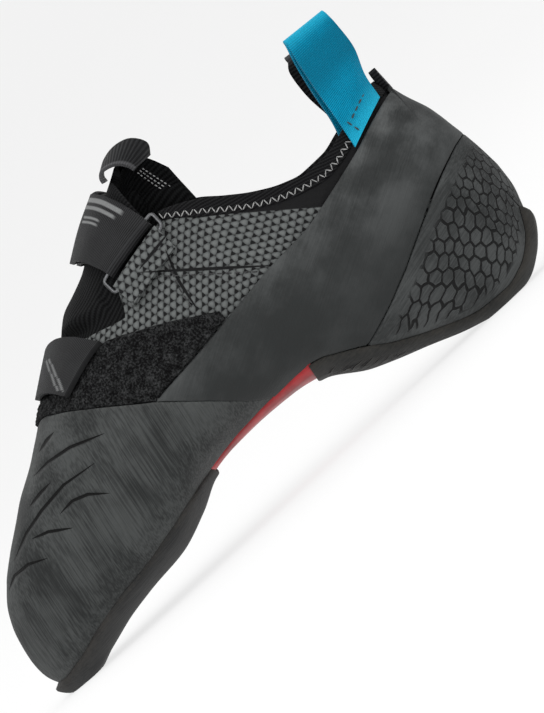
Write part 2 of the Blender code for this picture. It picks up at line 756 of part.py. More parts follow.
def build_tongue_loop(shoe, look):
    """Ribbon arched over the tongue's top, its far edge the higher one."""
    near = [(-79.8, 131.4), (-79.3, 133.4), (-77.4, 134.9), (-73.6, 134.2), (-70.8, 132.4), (-69.0, 129.8),
            (-68.2, 127.4)]
    far = [(-78.6, 131.0), (-78.0, 133.8), (-74.2, 137.0), (-68.0, 138.4), (-61.8, 136.8), (-58.2, 131.8),
           (-60.4, 127.6)]
    rows = []
    for (x0, z0), (x1, z1) in zip(near, far):
        row = []
        for j in range(4):
            t = j / 3
            row.append(Vector((x0 + (x1 - x0) * t, -3.0 + 17.0 * t, z0 + (z1 - z0) * t)))
        rows.append(row)
    return free_ribbon("tongue_loop", rows, RIBBON, shoe, look)


def build_heel_tab(shoe, look):
    """Rounded tab that stands at the collar's centre back."""
    outline = [(88.9, 4.6), (90.8, 4.9), (92.8, 4.9), (94.6, 4.2), (95.9, 2.8)]
    rows = []
    for z, half in outline:
        row = []
        for j in range(5):
            y = half * (j / 2 - 1)
            row.append(Vector((21.2 - y * y / 42.0, y, z)))
        rows.append(row)
    return free_ribbon("heel_tab", rows, HEEL_TAB, shoe, look)


def remove_scene_objects():
    for old in list(bpy.data.objects):
        bpy.data.objects.remove(old, do_unlink=True)


def main():
    remove_scene_objects()
    shoe = bpy.data.collections.new("climbing_shoe")
    bpy.context.scene.collection.children.link(shoe)
    black_rubber = material("black_rubber", (0.055, 0.058, 0.058), 0.6)
    grey_rubber = material("grey_rubber", (0.09, 0.095, 0.096), 0.6)
    textile = material("textile", (0.10, 0.11, 0.11), 0.8)
    knit = material("knit", (0.03, 0.03, 0.03), 0.9)
    pile = material("pile", (0.02, 0.02, 0.02), 0.95)
    webbing = material("webbing", (0.025, 0.026, 0.027), 0.75)
    blue = material("blue_ribbon", (0.015, 0.33, 0.55), 0.5)
    wire = material("wire", (0.6, 0.6, 0.6), 0.25, 1.0)
    red = material("red_plate", (0.36, 0.02, 0.03), 0.25)
    build_upper(shoe, textile)
    build_toe_rubber(shoe, black_rubber)
    build_outsole(shoe, black_rubber)
    build_arch_plate(shoe, red)
    build_heel_sole(shoe, black_rubber)
    build_heel_cup(shoe, black_rubber)
    build_rand(shoe, grey_rubber)
    build_insole(shoe, knit)
    build_tongue(shoe, knit)
    build_cuff(shoe, knit)
    build_pile(shoe, pile)
    build_lower_strap(shoe, webbing)
    build_upper_strap(shoe, webbing)
    build_ring(shoe, wire)
    build_keeper(shoe, textile)
    build_pull_loop("pull_loop_lateral", LATERAL, LATERAL_LOOP_LEFT, LATERAL_LOOP_RIGHT, -5.0, shoe, blue)
    build_pull_loop("pull_loop_medial", MEDIAL, MEDIAL_LOOP_LEFT, MEDIAL_LOOP_RIGHT, -5.0, shoe, webbing)
    build_tongue_loop(shoe, webbing)
    build_heel_tab(shoe, webbing)


main()
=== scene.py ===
import bpy
import math
from mathutils import Matrix, Vector, noise


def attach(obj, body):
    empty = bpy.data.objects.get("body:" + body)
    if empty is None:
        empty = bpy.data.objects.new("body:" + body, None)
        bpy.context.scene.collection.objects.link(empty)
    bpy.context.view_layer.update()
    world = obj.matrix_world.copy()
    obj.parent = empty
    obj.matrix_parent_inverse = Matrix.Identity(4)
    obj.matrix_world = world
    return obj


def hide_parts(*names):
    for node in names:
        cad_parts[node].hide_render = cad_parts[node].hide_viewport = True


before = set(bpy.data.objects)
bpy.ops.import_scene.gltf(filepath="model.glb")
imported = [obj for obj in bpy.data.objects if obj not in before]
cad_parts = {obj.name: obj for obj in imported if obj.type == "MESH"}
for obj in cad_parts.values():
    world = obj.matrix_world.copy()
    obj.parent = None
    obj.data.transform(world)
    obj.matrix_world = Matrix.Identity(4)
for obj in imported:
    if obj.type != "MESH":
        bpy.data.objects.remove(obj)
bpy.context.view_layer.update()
mm = 0.001
uvUnit = 100.0  # millimetres of cloth in one unit of the UV map
print("frame loaded")

# camera, laid over so that the shoe stands on its toe in the picture
cameraSet = {"target": (-76.8, 0.0, 42.8), "distance": 3000.0, "elevation": 2.0, "roll": 42.28,
             "tall": 261.7, "lens": 230.0}


def placeCamera(s):
    data = bpy.data.cameras.new("shoeCamera")
    data.lens = s["lens"]
    data.sensor_fit = "AUTO"
    data.sensor_width = s["lens"] * s["tall"] / s["distance"]  # the picture's long side
    camera = bpy.data.objects.new("shoeCamera", data)
    bpy.context.scene.collection.objects.link(camera)
    tilt = math.radians(s["elevation"])
    roll = math.radians(s["roll"])
    ahead = Vector((0, math.cos(tilt), -math.sin(tilt)))
    level = Vector((1, 0, 0))
    upright = Vector((0, math.sin(tilt), math.cos(tilt)))
    right = level * math.cos(roll) - upright * math.sin(roll)
    up = level * math.sin(roll) + upright * math.cos(roll)
    spot = (Vector(s["target"]) - ahead * s["distance"]) * mm
    camera.matrix_world = Matrix.Translation(spot) @ Matrix((right, up, -ahead)).transposed().to_4x4()
    bpy.context.scene.camera = camera


placeCamera(cameraSet)
bpy.context.scene.view_settings.view_transform = "Standard"

# the last, as in the part: x, keel, crown, lateral, middle, medial, belly, under, over
lastRows = [
    (-216.0, 15.5, 15.5, 17.0, 17.0, 17.0, 0.45, 2.3, 2.2),
    (-215.5, 11.2, 20.8, 11.0, 17.0, 22.5, 0.45, 2.3, 2.2),
    (-213.7, 7.0, 28.6, 5.0, 16.5, 27.0, 0.44, 2.4, 2.2),
    (-210.4, 4.2, 36.2, -1.0, 15.5, 30.5, 0.42, 2.6, 2.2),
    (-204.8, 4.2, 43.5, -10.0, 14.5, 34.5, 0.40, 2.8, 2.2),
    (-194.0, 8.0, 53.0, -20.5, 13.0, 38.5, 0.38, 3.0, 2.2),
    (-180.0, 12.2, 63.3, -30.0, 11.5, 41.5, 0.36, 3.0, 2.2),
    (-165.0, 15.1, 73.2, -37.5, 10.5, 43.5, 0.34, 3.0, 2.2),
    (-150.0, 17.1, 84.3, -42.0, 9.5, 44.3, 0.33, 3.0, 2.2),
    (-136.0, 22.4, 94.6, -43.5, 8.5, 43.5, 0.30, 2.8, 2.2),
    (-122.7, 29.0, 103.8, -43.0, 7.5, 41.0, 0.27, 2.6, 2.2),
    (-110.0, 31.2, 111.5, -41.0, 6.5, 37.5, 0.26, 2.5, 2.2),
    (-95.0, 31.8, 121.5, -38.0, 5.0, 33.5, 0.26, 2.4, 2.2),
    (-80.0, 31.2, 129.5, -35.5, 3.5, 30.5, 0.27, 2.4, 2.3),
    (-66.0, 28.6, 138.0, -33.0, 2.0, 29.5, 0.28, 2.4, 2.3),
    (-50.0, 19.4, 144.0, -31.0, 1.0, 29.5, 0.29, 2.4, 2.4),
    (-30.0, 12.1, 144.0, -30.0, 0.5, 30.0, 0.30, 2.8, 2.4),
    (-12.0, 6.0, 136.0, -29.0, 0.0, 29.5, 0.31, 3.4, 2.4),
    (-1.0, 3.7, 125.5, -27.9, 0.0, 28.3, 0.33, 3.6, 2.4),
    (9.9, 5.3, 111.0, -26.0, 0.0, 26.4, 0.37, 3.4, 2.3),
    (17.0, 9.2, 95.0, -22.6, 0.0, 23.0, 0.41, 2.7, 2.2),
    (21.2, 13.4, 80.5, -19.0, 0.0, 19.4, 0.42, 2.2, 2.1),
    (24.6, 18.4, 71.5, -15.0, 0.0, 15.4, 0.43, 2.1, 2.0),
    (27.0, 24.6, 60.0, -10.8, 0.1, 11.2, 0.44, 2.0, 2.0),
    (28.8, 31.3, 48.4, -5.6, 0.2, 6.0, 0.46, 2.0, 2.0),
    (29.4, 39.5, 39.5, 0.2, 0.2, 0.2, 0.50, 2.0, 2.0),
]
toeTip = lastRows[0][0]
heelTip = lastRows[-1][0]
lateral, medial = 1, -1
crown, keel = 0.0, 180.0
borderOff = 2.2

# borders seen from the side: x, z
borders = {
    "sole": [(-216.0, 6.4), (-210.2, 6.6), (-206.1, 7.6), (-201.3, 9.0), (-193.4, 11.8), (-182.0, 15.3),
             (-161.7, 18.9), (-144.7, 23.0), (-131.7, 26.4), (-120.4, 28.3)],
    "arch": [(-119.8, 28.6), (-112.0, 29.9), (-104.0, 31.3), (-94.0, 32.0), (-86.0, 32.3), (-78.0, 32.4),
             (-69.0, 32.6)],
    "heel": [(-69.3, 32.6), (-62.6, 31.2), (-58.4, 29.2), (-47.6, 23.1), (-39.1, 17.6), (-23.9, 10.5),
             (-7.1, 5.2), (3.2, 4.6), (11.0, 7.0), (19.9, 13.8), (25.5, 24.0)],
    "cup": [(-47.5, 23.1), (-36.5, 27.0), (-31.9, 28.9), (-24.8, 32.3), (-18.9, 35.1), (-10.9, 39.4),
            (-1.6, 44.2), (7.6, 48.9), (17.3, 53.3), (24.5, 55.7), (29.7, 56.4)],
    "toe": [(-156.0, 86.5), (-154.1, 84.3), (-144.9, 79.4), (-133.0, 71.0), (-123.7, 63.9), (-118.5, 59.9),
            (-107.3, 49.6), (-97.6, 40.8), (-91.8, 35.9), (-86.3, 32.4)],
    "rand": [(-118.8, 60.4), (-114.5, 61.1), (-103.8, 62.2), (-90.5, 63.7), (-73.7, 66.1), (-53.8, 68.6),
             (-37.9, 69.6), (-28.5, 71.6), (-15.8, 75.0), (-5.0, 78.1), (6.2, 82.2), (16.4, 85.4), (20.0, 86.0)],
    "pile": [(-151.0, 84.6), (-145.0, 87.6), (-138.0, 90.0), (-130.0, 91.2), (-119.5, 89.6), (-104.2, 83.1),
             (-77.3, 67.6)],
    "throat": [(-130.5, 98.5), (-126.4, 95.6), (-118.0, 93.2), (-110.0, 91.0), (-106.6, 90.4), (-103.8, 95.5),
               (-101.2, 100.9), (-90.0, 103.8), (-74.0, 107.5), (-60.7, 98.6), (-46.8, 89.4), (-33.3, 82.6),
               (-25.7, 80.2), (-17.5, 79.0), (-8.0, 80.4), (2.0, 83.8), (10.0, 86.0), (16.0, 86.6), (19.2, 86.6)],
    "cuff": [(-76.0, 111.5), (-70.0, 110.0), (-57.7, 104.1), (-49.7, 97.9), (-40.6, 91.6), (-30.5, 86.6),
             (-22.7, 84.6), (-12.9, 84.8), (-4.4, 87.0), (5.0, 90.2), (12.0, 92.0), (17.8, 92.4)],
    "tongue": [(-77.5, 131.0), (-72.0, 132.4), (-66.0, 132.2), (-61.4, 126.3), (-58.0, 119.0)],
}
medialThroat = [(-130.5, 4.0), (-126.4, 12.0), (-113.0, 17.0), (-94.0, 22.0), (-86.0, 31.0), (-77.5, 42.0)]


def kept(find):
    store = {}

    def at(*key):
        if key not in store:
            store[key] = find(*key)
        return store[key]
    return at


def search(low, high, rounds, short):
    for _ in range(rounds):
        middle = (low + high) / 2
        if short(middle):
            low = middle
        else:
            high = middle
    return low, high


def distances(points):
    far = [0.0]
    for a, b in zip(points, points[1:]):
        far.append(far[-1] + math.dist(a, b))
    return far


def gentleSlopes(at, values):
    rises = [(values[i + 1] - values[i]) / (at[i + 1] - at[i]) for i in range(len(values) - 1)]
    found = [rises[0]]
    for a, b in zip(rises, rises[1:]):
        found.append(2 * a * b / (a + b) if a * b > 0 else 0.0)
    return found + [rises[-1]]


def hermite(at, values, rates, x):
    if x <= at[0]:
        return values[0]
    if x >= at[-1]:
        return values[-1]
    i = 0
    while x > at[i + 1]:
        i += 1
    span = at[i + 1] - at[i]
    t = (x - at[i]) / span
    return ((1 + 2 * t) * (1 - t) ** 2 * values[i] + t * (1 - t) ** 2 * span * rates[i]
            + t * t * (3 - 2 * t) * values[i + 1] + t * t * (t - 1) * span * rates[i + 1])


curveStore = {}


def smoothAt(table, x):
    marker = id(table)
    if marker not in curveStore:
        at = [row[0] for row in table]
        values = [row[1] for row in table]
        curveStore[marker] = (at, values, gentleSlopes(at, values))
    return hermite(*curveStore[marker], x)


lastAt = distances([row[:3] for row in lastRows])
lastColumns = [[row[c] for row in lastRows] for c in range(9)]
lastRates = [gentleSlopes(lastAt, column) for column in lastColumns]


@kept
def section(along):
    along = min(max(along, 0.0), lastAt[-1])
    return [hermite(lastAt, column, rates, along) for column, rates in zip(lastColumns, lastRates)]


@kept
def alongOf(x):
    low, high = search(0.0, lastAt[-1], 40,
                       lambda along: hermite(lastAt, lastColumns[0], lastRates[0], along) < x)
    return (low + high) / 2


def rawPoint(along, q):
    x, low, high, outer, centre, inner, share, under, over = section(along)
    q = q - 360 if q > 180 else q + 360 if q < -180 else q
    turn = math.radians(90 - abs(q))
    belly = low + share * (high - low)
    tall, power = (high - belly, over) if turn >= 0 else (belly - low, under)
    wide = centre - outer if q >= 0 else inner - centre
    c, s = abs(math.cos(turn)), abs(math.sin(turn))
    full = (c ** power + s ** power) ** (-1 / power)
    across = (-1 if q >= 0 else 1) * wide * c * full
    return Vector((x, centre + across, belly + math.copysign(tall * s * full, turn)))


def bodyPoint(x, q, off=0.0):
    if x <= toeTip + 1e-6:
        return rawPoint(0.0, q) + Vector((-off, 0, 0))
    if x >= heelTip - 1e-6:
        return rawPoint(lastAt[-1], q) + Vector((off, 0, 0))
    along = alongOf(x)
    base = rawPoint(along, q)
    ahead = rawPoint(min(along + 0.25, lastAt[-1]), q) - rawPoint(max(along - 0.25, 0.0), q)
    across = rawPoint(along, q + 0.6) - rawPoint(along, q - 0.6)
    return base + across.cross(ahead).normalized() * off


def turnAt(x, side, z, off=borderOff):
    low, high = search(crown, keel, 24, lambda q: bodyPoint(x, side * q, off).z > z)
    return crown if low < 0.8 else (low + high) / 2


@kept
def borderTurn(name, x, side, off):
    return turnAt(x, side, smoothAt(borders[name], x), off)


def edge(name, turn=0.0, off=borderOff):
    def at(x, side):
        found = borderTurn(name, x, side, off)
        return min(max(found + turn, crown), keel) if found > crown else crown
    return at


girthStep = 4  # degrees
girthLast = 180 // girthStep - 1


@kept
def girth(x, side):
    # distances round the last from the crown to each step
    return distances([bodyPoint(x, side * q, borderOff) for q in range(0, 181, girthStep)])


def farOf(table, q):
    i = min(int(q / girthStep), girthLast)
    return table[i] + (table[i + 1] - table[i]) * (q / girthStep - i)


def turnOf(table, far):
    i = 0
    while i < girthLast and table[i + 1] < far:
        i += 1
    return girthStep * (i + (far - table[i]) / max(table[i + 1] - table[i], 1e-6))


def blendAt(value, low, high):
    t = min(max((value - low) / (high - low), 0.0), 1.0)
    return t * t * (3 - 2 * t)


def bellAt(value, middle, wide):
    return math.exp(-((value - middle) / wide) ** 2)


# shader wiring
def signed(operation, turned=False):
    return lambda wire, other: wire.calc(operation, other, turned)


class Wire:
    def __init__(self, bench, socket):
        self.bench = bench
        self.socket = socket

    def calc(self, operation, other, turned=False):
        pair = (other, self) if turned else (self, other)
        return self.bench.add("ShaderNodeMath", {"operation": operation}, {0: pair[0], 1: pair[1]})

    __add__ = signed("ADD")
    __radd__ = signed("ADD", True)
    __sub__ = signed("SUBTRACT")
    __rsub__ = signed("SUBTRACT", True)
    __mul__ = signed("MULTIPLY")
    __pow__ = signed("POWER")

    def step(self, low, high):
        return self.bench.add("ShaderNodeMapRange", {"interpolation_type": "SMOOTHSTEP"},
                              {"Value": self, "From Min": low, "From Max": high})

    def wave(self, period):
        return (self * (2 * math.pi / period)).calc("SINE", 0.0) * 0.5 + 0.5


class Bench:
    def __init__(self, name, **fixed):
        self.material = bpy.data.materials.new(name)
        self.material.use_nodes = True
        self.tree = self.material.node_tree
        self.shader = self.tree.nodes["Principled BSDF"]
        self.relief = None
        for socket, value in fixed.items():
            self.shader.inputs[socket.replace("_", " ")].default_value = value

    def feed(self, socket, value):
        if isinstance(value, Wire):
            self.tree.links.new(value.socket, socket)
        else:
            socket.default_value = value

    def add(self, kind, settings=None, values=None, out=0):
        node = self.tree.nodes.new(kind)
        for name, value in (settings or {}).items():
            setattr(node, name, value)
        for name, value in (values or {}).items():
            self.feed(node.inputs[name], value)
        return Wire(self, node.outputs[out])

    def scaled(self, spot, by):
        return self.add("ShaderNodeVectorMath", {"operation": "SCALE"}, {0: spot, "Scale": by})

    def place(self):
        # millimetres in the row frame
        return self.scaled(self.add("ShaderNodeTexCoord", out=3), 1 / mm)

    def cloth(self):
        # millimetres along and across the piece
        return self.scaled(self.add("ShaderNodeUVMap", {"uv_map": "UVMap"}), uvUnit)

    def parts(self, vector):
        node = self.tree.nodes.new("ShaderNodeSeparateXYZ")
        self.feed(node.inputs[0], vector)
        return [Wire(self, node.outputs[i]) for i in range(3)]

    def turned(self, vector, angles, sizes=(1, 1, 1)):
        # the pattern is turned, then drawn out to these sizes in millimetres
        return self.add("ShaderNodeMapping", {"vector_type": "TEXTURE"},
                        {"Vector": vector, "Rotation": [math.radians(a) for a in angles], "Scale": sizes})

    def grain(self, vector, size, detail=3.0, rough=0.55):
        return self.add("ShaderNodeTexNoise", None,
                        {"Vector": vector, "Scale": 1 / size, "Detail": detail, "Roughness": rough})

    def marked(self, name):
        return self.add("ShaderNodeAttribute", {"attribute_name": name}, out=2)

    def mix(self, a, b, share):
        node = self.tree.nodes.new("ShaderNodeMix")
        node.data_type = "RGBA"
        for index, value in ((0, share), (6, a), (7, b)):
            if index > 0 and not isinstance(value, Wire):
                value = (*value, 1)
            self.feed(node.inputs[index], value)
        return Wire(self, node.outputs[2])

    def color(self, value):
        self.feed(self.shader.inputs["Base Color"], value)

    def rough(self, value):
        self.feed(self.shader.inputs["Roughness"], value)

    def bump(self, height, deep, strength=1.0):
        values = {"Height": height, "Distance": deep * mm, "Strength": strength}
        if self.relief is not None:
            values["Normal"] = self.relief
        self.relief = self.add("ShaderNodeBump", None, values)
        self.feed(self.shader.inputs["Normal"], self.relief)


def honeycomb(b, across, upward):
    # 0 at a cell's middle, 0.5 on its rim
    nearest = None
    for shift in (0.0, 0.5):
        dx = ((across + shift).calc("FRACT", 0.0) - 0.5).calc("ABSOLUTE", 0.0)
        dz = (((upward * (1 / 1.732) + shift).calc("FRACT", 0.0) - 0.5) * 1.732).calc("ABSOLUTE", 0.0)
        reach = dx.calc("MAXIMUM", dx * 0.5 + dz * 0.866)
        nearest = reach if nearest is None else nearest.calc("MINIMUM", reach)
    return nearest


def cutLines(x, z, lines):
    # 1 inside a slit, which is widest at its middle
    nearest = None
    for line in lines:
        far = distances(line)
        for before, a, c in zip(far, line, line[1:]):
            step = math.dist(a, c)
            dx, dz = (c[0] - a[0]) / step, (c[1] - a[1]) / step
            px, pz = x - a[0], z - a[1]
            reach = (px * dx + pz * dz).calc("MAXIMUM", 0.0).calc("MINIMUM", step)
            ex, ez = px - reach * dx, pz - reach * dz
            share = (reach + before) * (1 / far[-1])
            wide = share * (1 - share) * 1.9 + 0.06
            gap = (ex * ex + ez * ez) ** 0.5 * (wide ** -1.0)
            nearest = gap if nearest is None else nearest.calc("MINIMUM", gap)
    return 1 - nearest.step(0.75, 1.35)


# painted shade: near-black laid into grooves in place of the shadow in their depth
paintedGrooveShade = (0.003, 0.003, 0.003)
cellWide = 4.6


def rubberLook(name, dark, light, dust, cloudSize, streak, edgeGrime=0.0, cells=0.0, streakShare=0.35,
               lowShade=0.0, cuts=None):
    b = Bench(name, Roughness=0.6, Specular_IOR_Level=0.16)
    p = b.place()
    cloud = b.grain(p, cloudSize, 4.0, 0.6)
    drift = b.grain(b.turned(p, (0, -streak, 0), (cloudSize * 2.2, cloudSize, cloudSize * 0.6)), 1.0, 2.0, 0.5)
    speck = b.grain(p, 1.1, 5.0, 0.7)
    lines = b.grain(b.turned(p, (0, -streak, 0), (30.0, 1.6, 0.5)), 1.0, 2.0, 0.5).step(0.3, 0.7)
    tone = cloud.step(0.34, 0.68) * 0.4 + drift.step(0.36, 0.66) * 0.25 + speck * 0.2 + lines * streakShare
    base = b.mix(dark, light, tone.step(0.2, 1.05))
    scuff = b.grain(p, 3.4, 5.0, 0.75).step(0.6, 0.78)
    base = b.mix(base, dust, scuff * 0.14)
    rim = b.marked("rim")
    base = b.mix(base, dust, (rim * speck.step(0.4, 0.7)) * 0.25)
    if edgeGrime:
        base = b.mix(base, (0.052, 0.04, 0.029), rim.step(0.05, 0.9) * cloud.step(0.3, 0.7) * edgeGrime)
    x, y, z = b.parts(p)
    # painted shade: darker towards the bottom
    if lowShade:
        base = b.mix(base, dark, (1 - z.step(35, 100)) * lowShade)
    if cuts:
        slit = cutLines(x, z, cuts) * (1 - y.step(12, 14))
        # painted shade: the toe slits are painted near-black
        base = b.mix(base, paintedGrooveShade, slit)
        b.bump(1 - slit, 0.5, 0.8)
    if cells:
        warp = b.grain(p, 14.0, 2.0)
        bend = b.grain(p, 9.0, 1.0)
        along = x - y.calc("ABSOLUTE", 0.0) * 0.9
        # cells stand along the picture's upright
        across = (along * 0.74 + z * -0.67 + warp * 7.0) * (1 / cells)
        upward = (along * 0.67 + z * 0.74 + bend * 6.0) * (1 / (cells * 1.35))
        line = honeycomb(b, across, upward)
        clear = 1 - rim.step(0.03, 0.12)
        cut = line.step(0.4, 0.46) * clear
        lip = line.step(0.33, 0.4) * (1 - line.step(0.4, 0.43)) * clear
        b.bump(1 - cut + lip * 0.25, 0.9, 0.9)
        # a lighter band in the dust tone runs along each groove's lip; painted shade: the grooves themselves are
        # painted near-black
        base = b.mix(base, dust, lip * 0.3)
        base = b.mix(base, paintedGrooveShade, cut * 0.92)
    b.color(base)
    b.rough(0.5 + cloud * 0.14 + speck * 0.12)
    b.bump(lines * 0.6 + speck * 0.4, 0.2, 0.5)
    return b.material


def pebbleLook(name):
    b = Bench(name, Roughness=0.7, Specular_IOR_Level=0.3)
    p = b.cloth()
    u, v = b.parts(p)[:2]
    sway = b.grain(p, 2.6, 2.0)
    swing = b.grain(p, 3.4, 2.0)
    u, v = u + sway * 0.9, v + swing * 0.9
    # three crossed waves draw three-lobed pebbles, 2.6 mm apart
    turn = 2 * math.pi / 2.6
    lobes = None
    for angle in (228.0, 348.0, 108.0):
        a = math.radians(angle)
        wave = ((u * math.cos(a) + v * math.sin(a)) * turn + 0.2).calc("COSINE", 0.0)
        lobes = wave if lobes is None else lobes + wave
    pebble = lobes.step(-1.2, -0.45)
    fine = b.grain(p, 0.35, 3.0)
    cloud = b.grain(p, 14.0, 3.0)
    tone = lobes.step(-0.6, 2.4) * 0.3 + cloud * 0.35 + fine * 0.55
    grey = b.mix((0.035, 0.039, 0.039), (0.16, 0.17, 0.167), tone)
    x, _, z = b.parts(b.place())
    plain = ((x + 41.9) * 0.617 + (z - 83.3) * 0.787).step(0.0, 0.5)
    # painted shade: along the seams and the fold the pebbles give way to the near-black ground; past the plain
    # line the cloth is plain near-black
    plainAndSeamShade = cutLines(x, z, quarterSeams).calc("MAXIMUM", plain)
    pebble = pebble * (1 - plainAndSeamShade)
    b.color(b.mix((0.005, 0.005, 0.0055), grey, pebble))
    b.rough(0.9 - pebble * 0.3)
    b.bump(pebble * 0.8 + lobes.step(-0.6, 2.6) * 0.3 + fine * 0.15, 0.6, 0.85)
    return b.material


def knitLook(name, dark, light, rib):
    b = Bench(name, Roughness=0.9, Specular_IOR_Level=0.12)
    p = b.cloth()
    u, v = b.parts(p)[:2]
    wob = b.grain(p, 6.0, 2.0)
    ribs = (v + wob * 0.8).wave(rib)
    rows = (u + ribs * 0.3).wave(0.9)
    fuzz = b.grain(p, 0.4, 4.0, 0.7)
    b.color(b.mix(dark, light, (ribs * 0.6 + rows * 0.25 + fuzz * 0.4).step(0.25, 1.05)))
    b.bump(ribs * 0.7 + rows * 0.3 + fuzz * 0.25, 0.4, 0.8)
    return b.material


def ribbonLook(name, deep, bright, highlightTone, rib, printTone=None):
    # u runs along the ribbon, v across it
    b = Bench(name, Roughness=0.65, Specular_IOR_Level=0.07)
    p = b.cloth()
    u, v = b.parts(p)[:2]
    ribs = u.wave(rib)
    yarn = (v + ribs * 0.25).wave(rib * 0.62)
    fuzz = b.grain(p, 0.5, 4.0, 0.7)
    cloud = b.grain(p, 9.0, 3.0)
    tone = (ribs * 0.5 + yarn * 0.2 + cloud * 0.35 + fuzz * 0.15).step(0.2, 1.0)
    base = b.mix(deep, bright, tone)
    # painted highlight and painted shade, from the light and shade marks
    base = b.mix(base, highlightTone, b.marked("light") * 0.8)
    base = b.mix(base, deep, b.marked("shade") * 0.8)
    if printTone:
        base = b.mix(base, printTone, b.marked("print"))
    b.color(base)
    b.rough(0.62 - ribs * 0.16)
    b.bump(ribs * 0.75 + yarn * 0.25 + fuzz * 0.15, 0.3, 0.75)
    return b.material


def pileLook(name):
    b = Bench(name, Roughness=0.98, Specular_IOR_Level=0.1)
    p = b.place()
    curl = b.grain(p, 0.8, 6.0, 0.75)
    tuft = b.grain(p, 3.2, 3.0)
    b.color(b.mix((0.002, 0.002, 0.0022), (0.06, 0.062, 0.063), (curl * 0.8 + tuft * 0.3).step(0.46, 0.78)))
    b.bump(curl * 0.8 + tuft * 0.4, 0.9, 0.9)
    return b.material


def glossLook(name, deep, bright):
    b = Bench(name, Roughness=0.45, Specular_IOR_Level=0.25, Coat_Weight=0.08, Coat_Roughness=0.2)
    p = b.place()
    cloud = b.grain(p, 12.0, 3.0)
    scuff = b.grain(b.turned(p, (0, -20, 0), (12.0, 1.3, 1.3)), 1.0, 4.0, 0.7).step(0.58, 0.72)
    b.color(b.mix(b.mix(deep, bright, cloud.step(0.3, 0.7)), (0.45, 0.2, 0.2), scuff * 0.15))
    b.rough(0.4 + scuff * 0.2 + cloud * 0.08)
    b.bump(cloud, 0.25, 0.4)
    return b.material


def wireLook(name):
    b = Bench(name, Metallic=1.0, Roughness=0.25)
    p = b.place()
    scratch = b.grain(p, 0.7, 4.0, 0.7)
    b.color(b.mix((0.03, 0.031, 0.033), (0.2, 0.203, 0.21), scratch))
    b.rough(0.18 + scratch * 0.22)
    b.bump(scratch, 0.05, 0.4)
    return b.material


def threadLook(name, dark, light):
    b = Bench(name, Roughness=0.6, Sheen_Weight=0.2)
    p = b.place()
    twist = b.grain(b.turned(p, (0, -45, 0), (1.2, 0.25, 0.25)), 1.0, 2.0)
    b.color(b.mix(dark, light, twist.step(0.3, 0.7)))
    b.bump(twist, 0.1, 0.6)
    return b.material


# slits over the toes, and seams of the quarter with the shaded edge of a fold, seen from the side: x, z
slits = [
    [(-163.2, 74.6), (-158.5, 76.0), (-154.1, 76.7)],
    [(-170.6, 69.4), (-163.1, 70.0), (-153.2, 68.9), (-140.4, 64.5)],
    [(-196.9, 51.2), (-186.8, 55.8), (-176.6, 58.5), (-164.2, 60.3), (-150.3, 58.9)],
    [(-179.3, 62.2), (-173.0, 63.4), (-167.4, 64.0)],
    [(-172.1, 53.4), (-165.6, 54.0), (-159.7, 52.1), (-153.6, 47.3)],
    [(-186.5, 53.1), (-180.0, 51.3), (-172.2, 46.7)],
    [(-206.1, 44.1), (-200.8, 46.9), (-193.7, 47.0), (-186.6, 44.3)],
]
quarterSeams = [[(-92.1, 99.2), (-73.0, 83.5), (-53.7, 67.6)], [(-79.3, 98.7), (-83.4, 86.8), (-85.4, 74.8)],
                [(-74.9, 102.4), (-91.1, 99.8)]]

looks = {
    "toe": rubberLook("toeRubberBuffed", (0.0185, 0.02, 0.02), (0.062, 0.066, 0.065), (0.14, 0.145, 0.14), 24, 81,
                      streakShare=0.4, cuts=slits),
    "rand": rubberLook("randRubberCloudy", (0.024, 0.026, 0.026), (0.16, 0.168, 0.168), (0.13, 0.135, 0.13),
                       26, 28, streakShare=0.08, lowShade=0.85),
    "sole": rubberLook("soleRubber", (0.018, 0.0185, 0.019), (0.036, 0.036, 0.0355), (0.08, 0.072, 0.06),
                       16, 8, 0.2),
    "strip": rubberLook("heelStripRubber", (0.018, 0.0185, 0.018), (0.036, 0.036, 0.034), (0.08, 0.072, 0.06),
                        16, 8, 0.2, cellWide),
    "cup": rubberLook("heelRubberCells", (0.026, 0.028, 0.028), (0.064, 0.068, 0.068), (0.1, 0.105, 0.105),
                      18, 15, 0.0, cellWide),
    "pebble": pebbleLook("quarterPebbleCloth"),
    "lining": knitLook("liningCloth", (0.008, 0.008, 0.0085), (0.03, 0.03, 0.031), 1.4),
    "knit": knitLook("tongueRibKnit", (0.002, 0.002, 0.0023), (0.012, 0.0125, 0.013), 2.1),
    "cuff": knitLook("cuffKnit", (0.003, 0.003, 0.0034), (0.014, 0.0143, 0.015), 1.2),
    "pile": pileLook("loopPile"),
    "strap": ribbonLook("strapWeave", (0.012, 0.012, 0.0125), (0.034, 0.0345, 0.036), (0.05, 0.05, 0.053), 0.8,
                        (0.24, 0.245, 0.245)),
    "black": ribbonLook("blackRibbon", (0.004, 0.004, 0.0045), (0.018, 0.0183, 0.02), (0.09, 0.09, 0.094), 1.3),
    "blue": ribbonLook("blueRibbon", (0.0, 0.14, 0.24), (0.0, 0.32, 0.54), (0.02, 0.47, 0.7), 0.7),
    "red": glossLook("redGloss", (0.19, 0.006, 0.008), (0.42, 0.025, 0.03)),
    "wire": wireLook("ringWire"),
    "thread": threadLook("greyThread", (0.16, 0.16, 0.16), (0.4, 0.4, 0.39)),
    "darkThread": threadLook("blackThread", (0.004, 0.004, 0.0045), (0.025, 0.025, 0.026)),
    # painted glints: light grey thread for the glints on the tongue's mesh lining
    "meshGlint": threadLook("meshGlintThread", (0.35, 0.35, 0.35), (0.7, 0.7, 0.7)),
}
print("finishes made")


def deselect():
    bpy.ops.object.select_all(action="DESELECT")


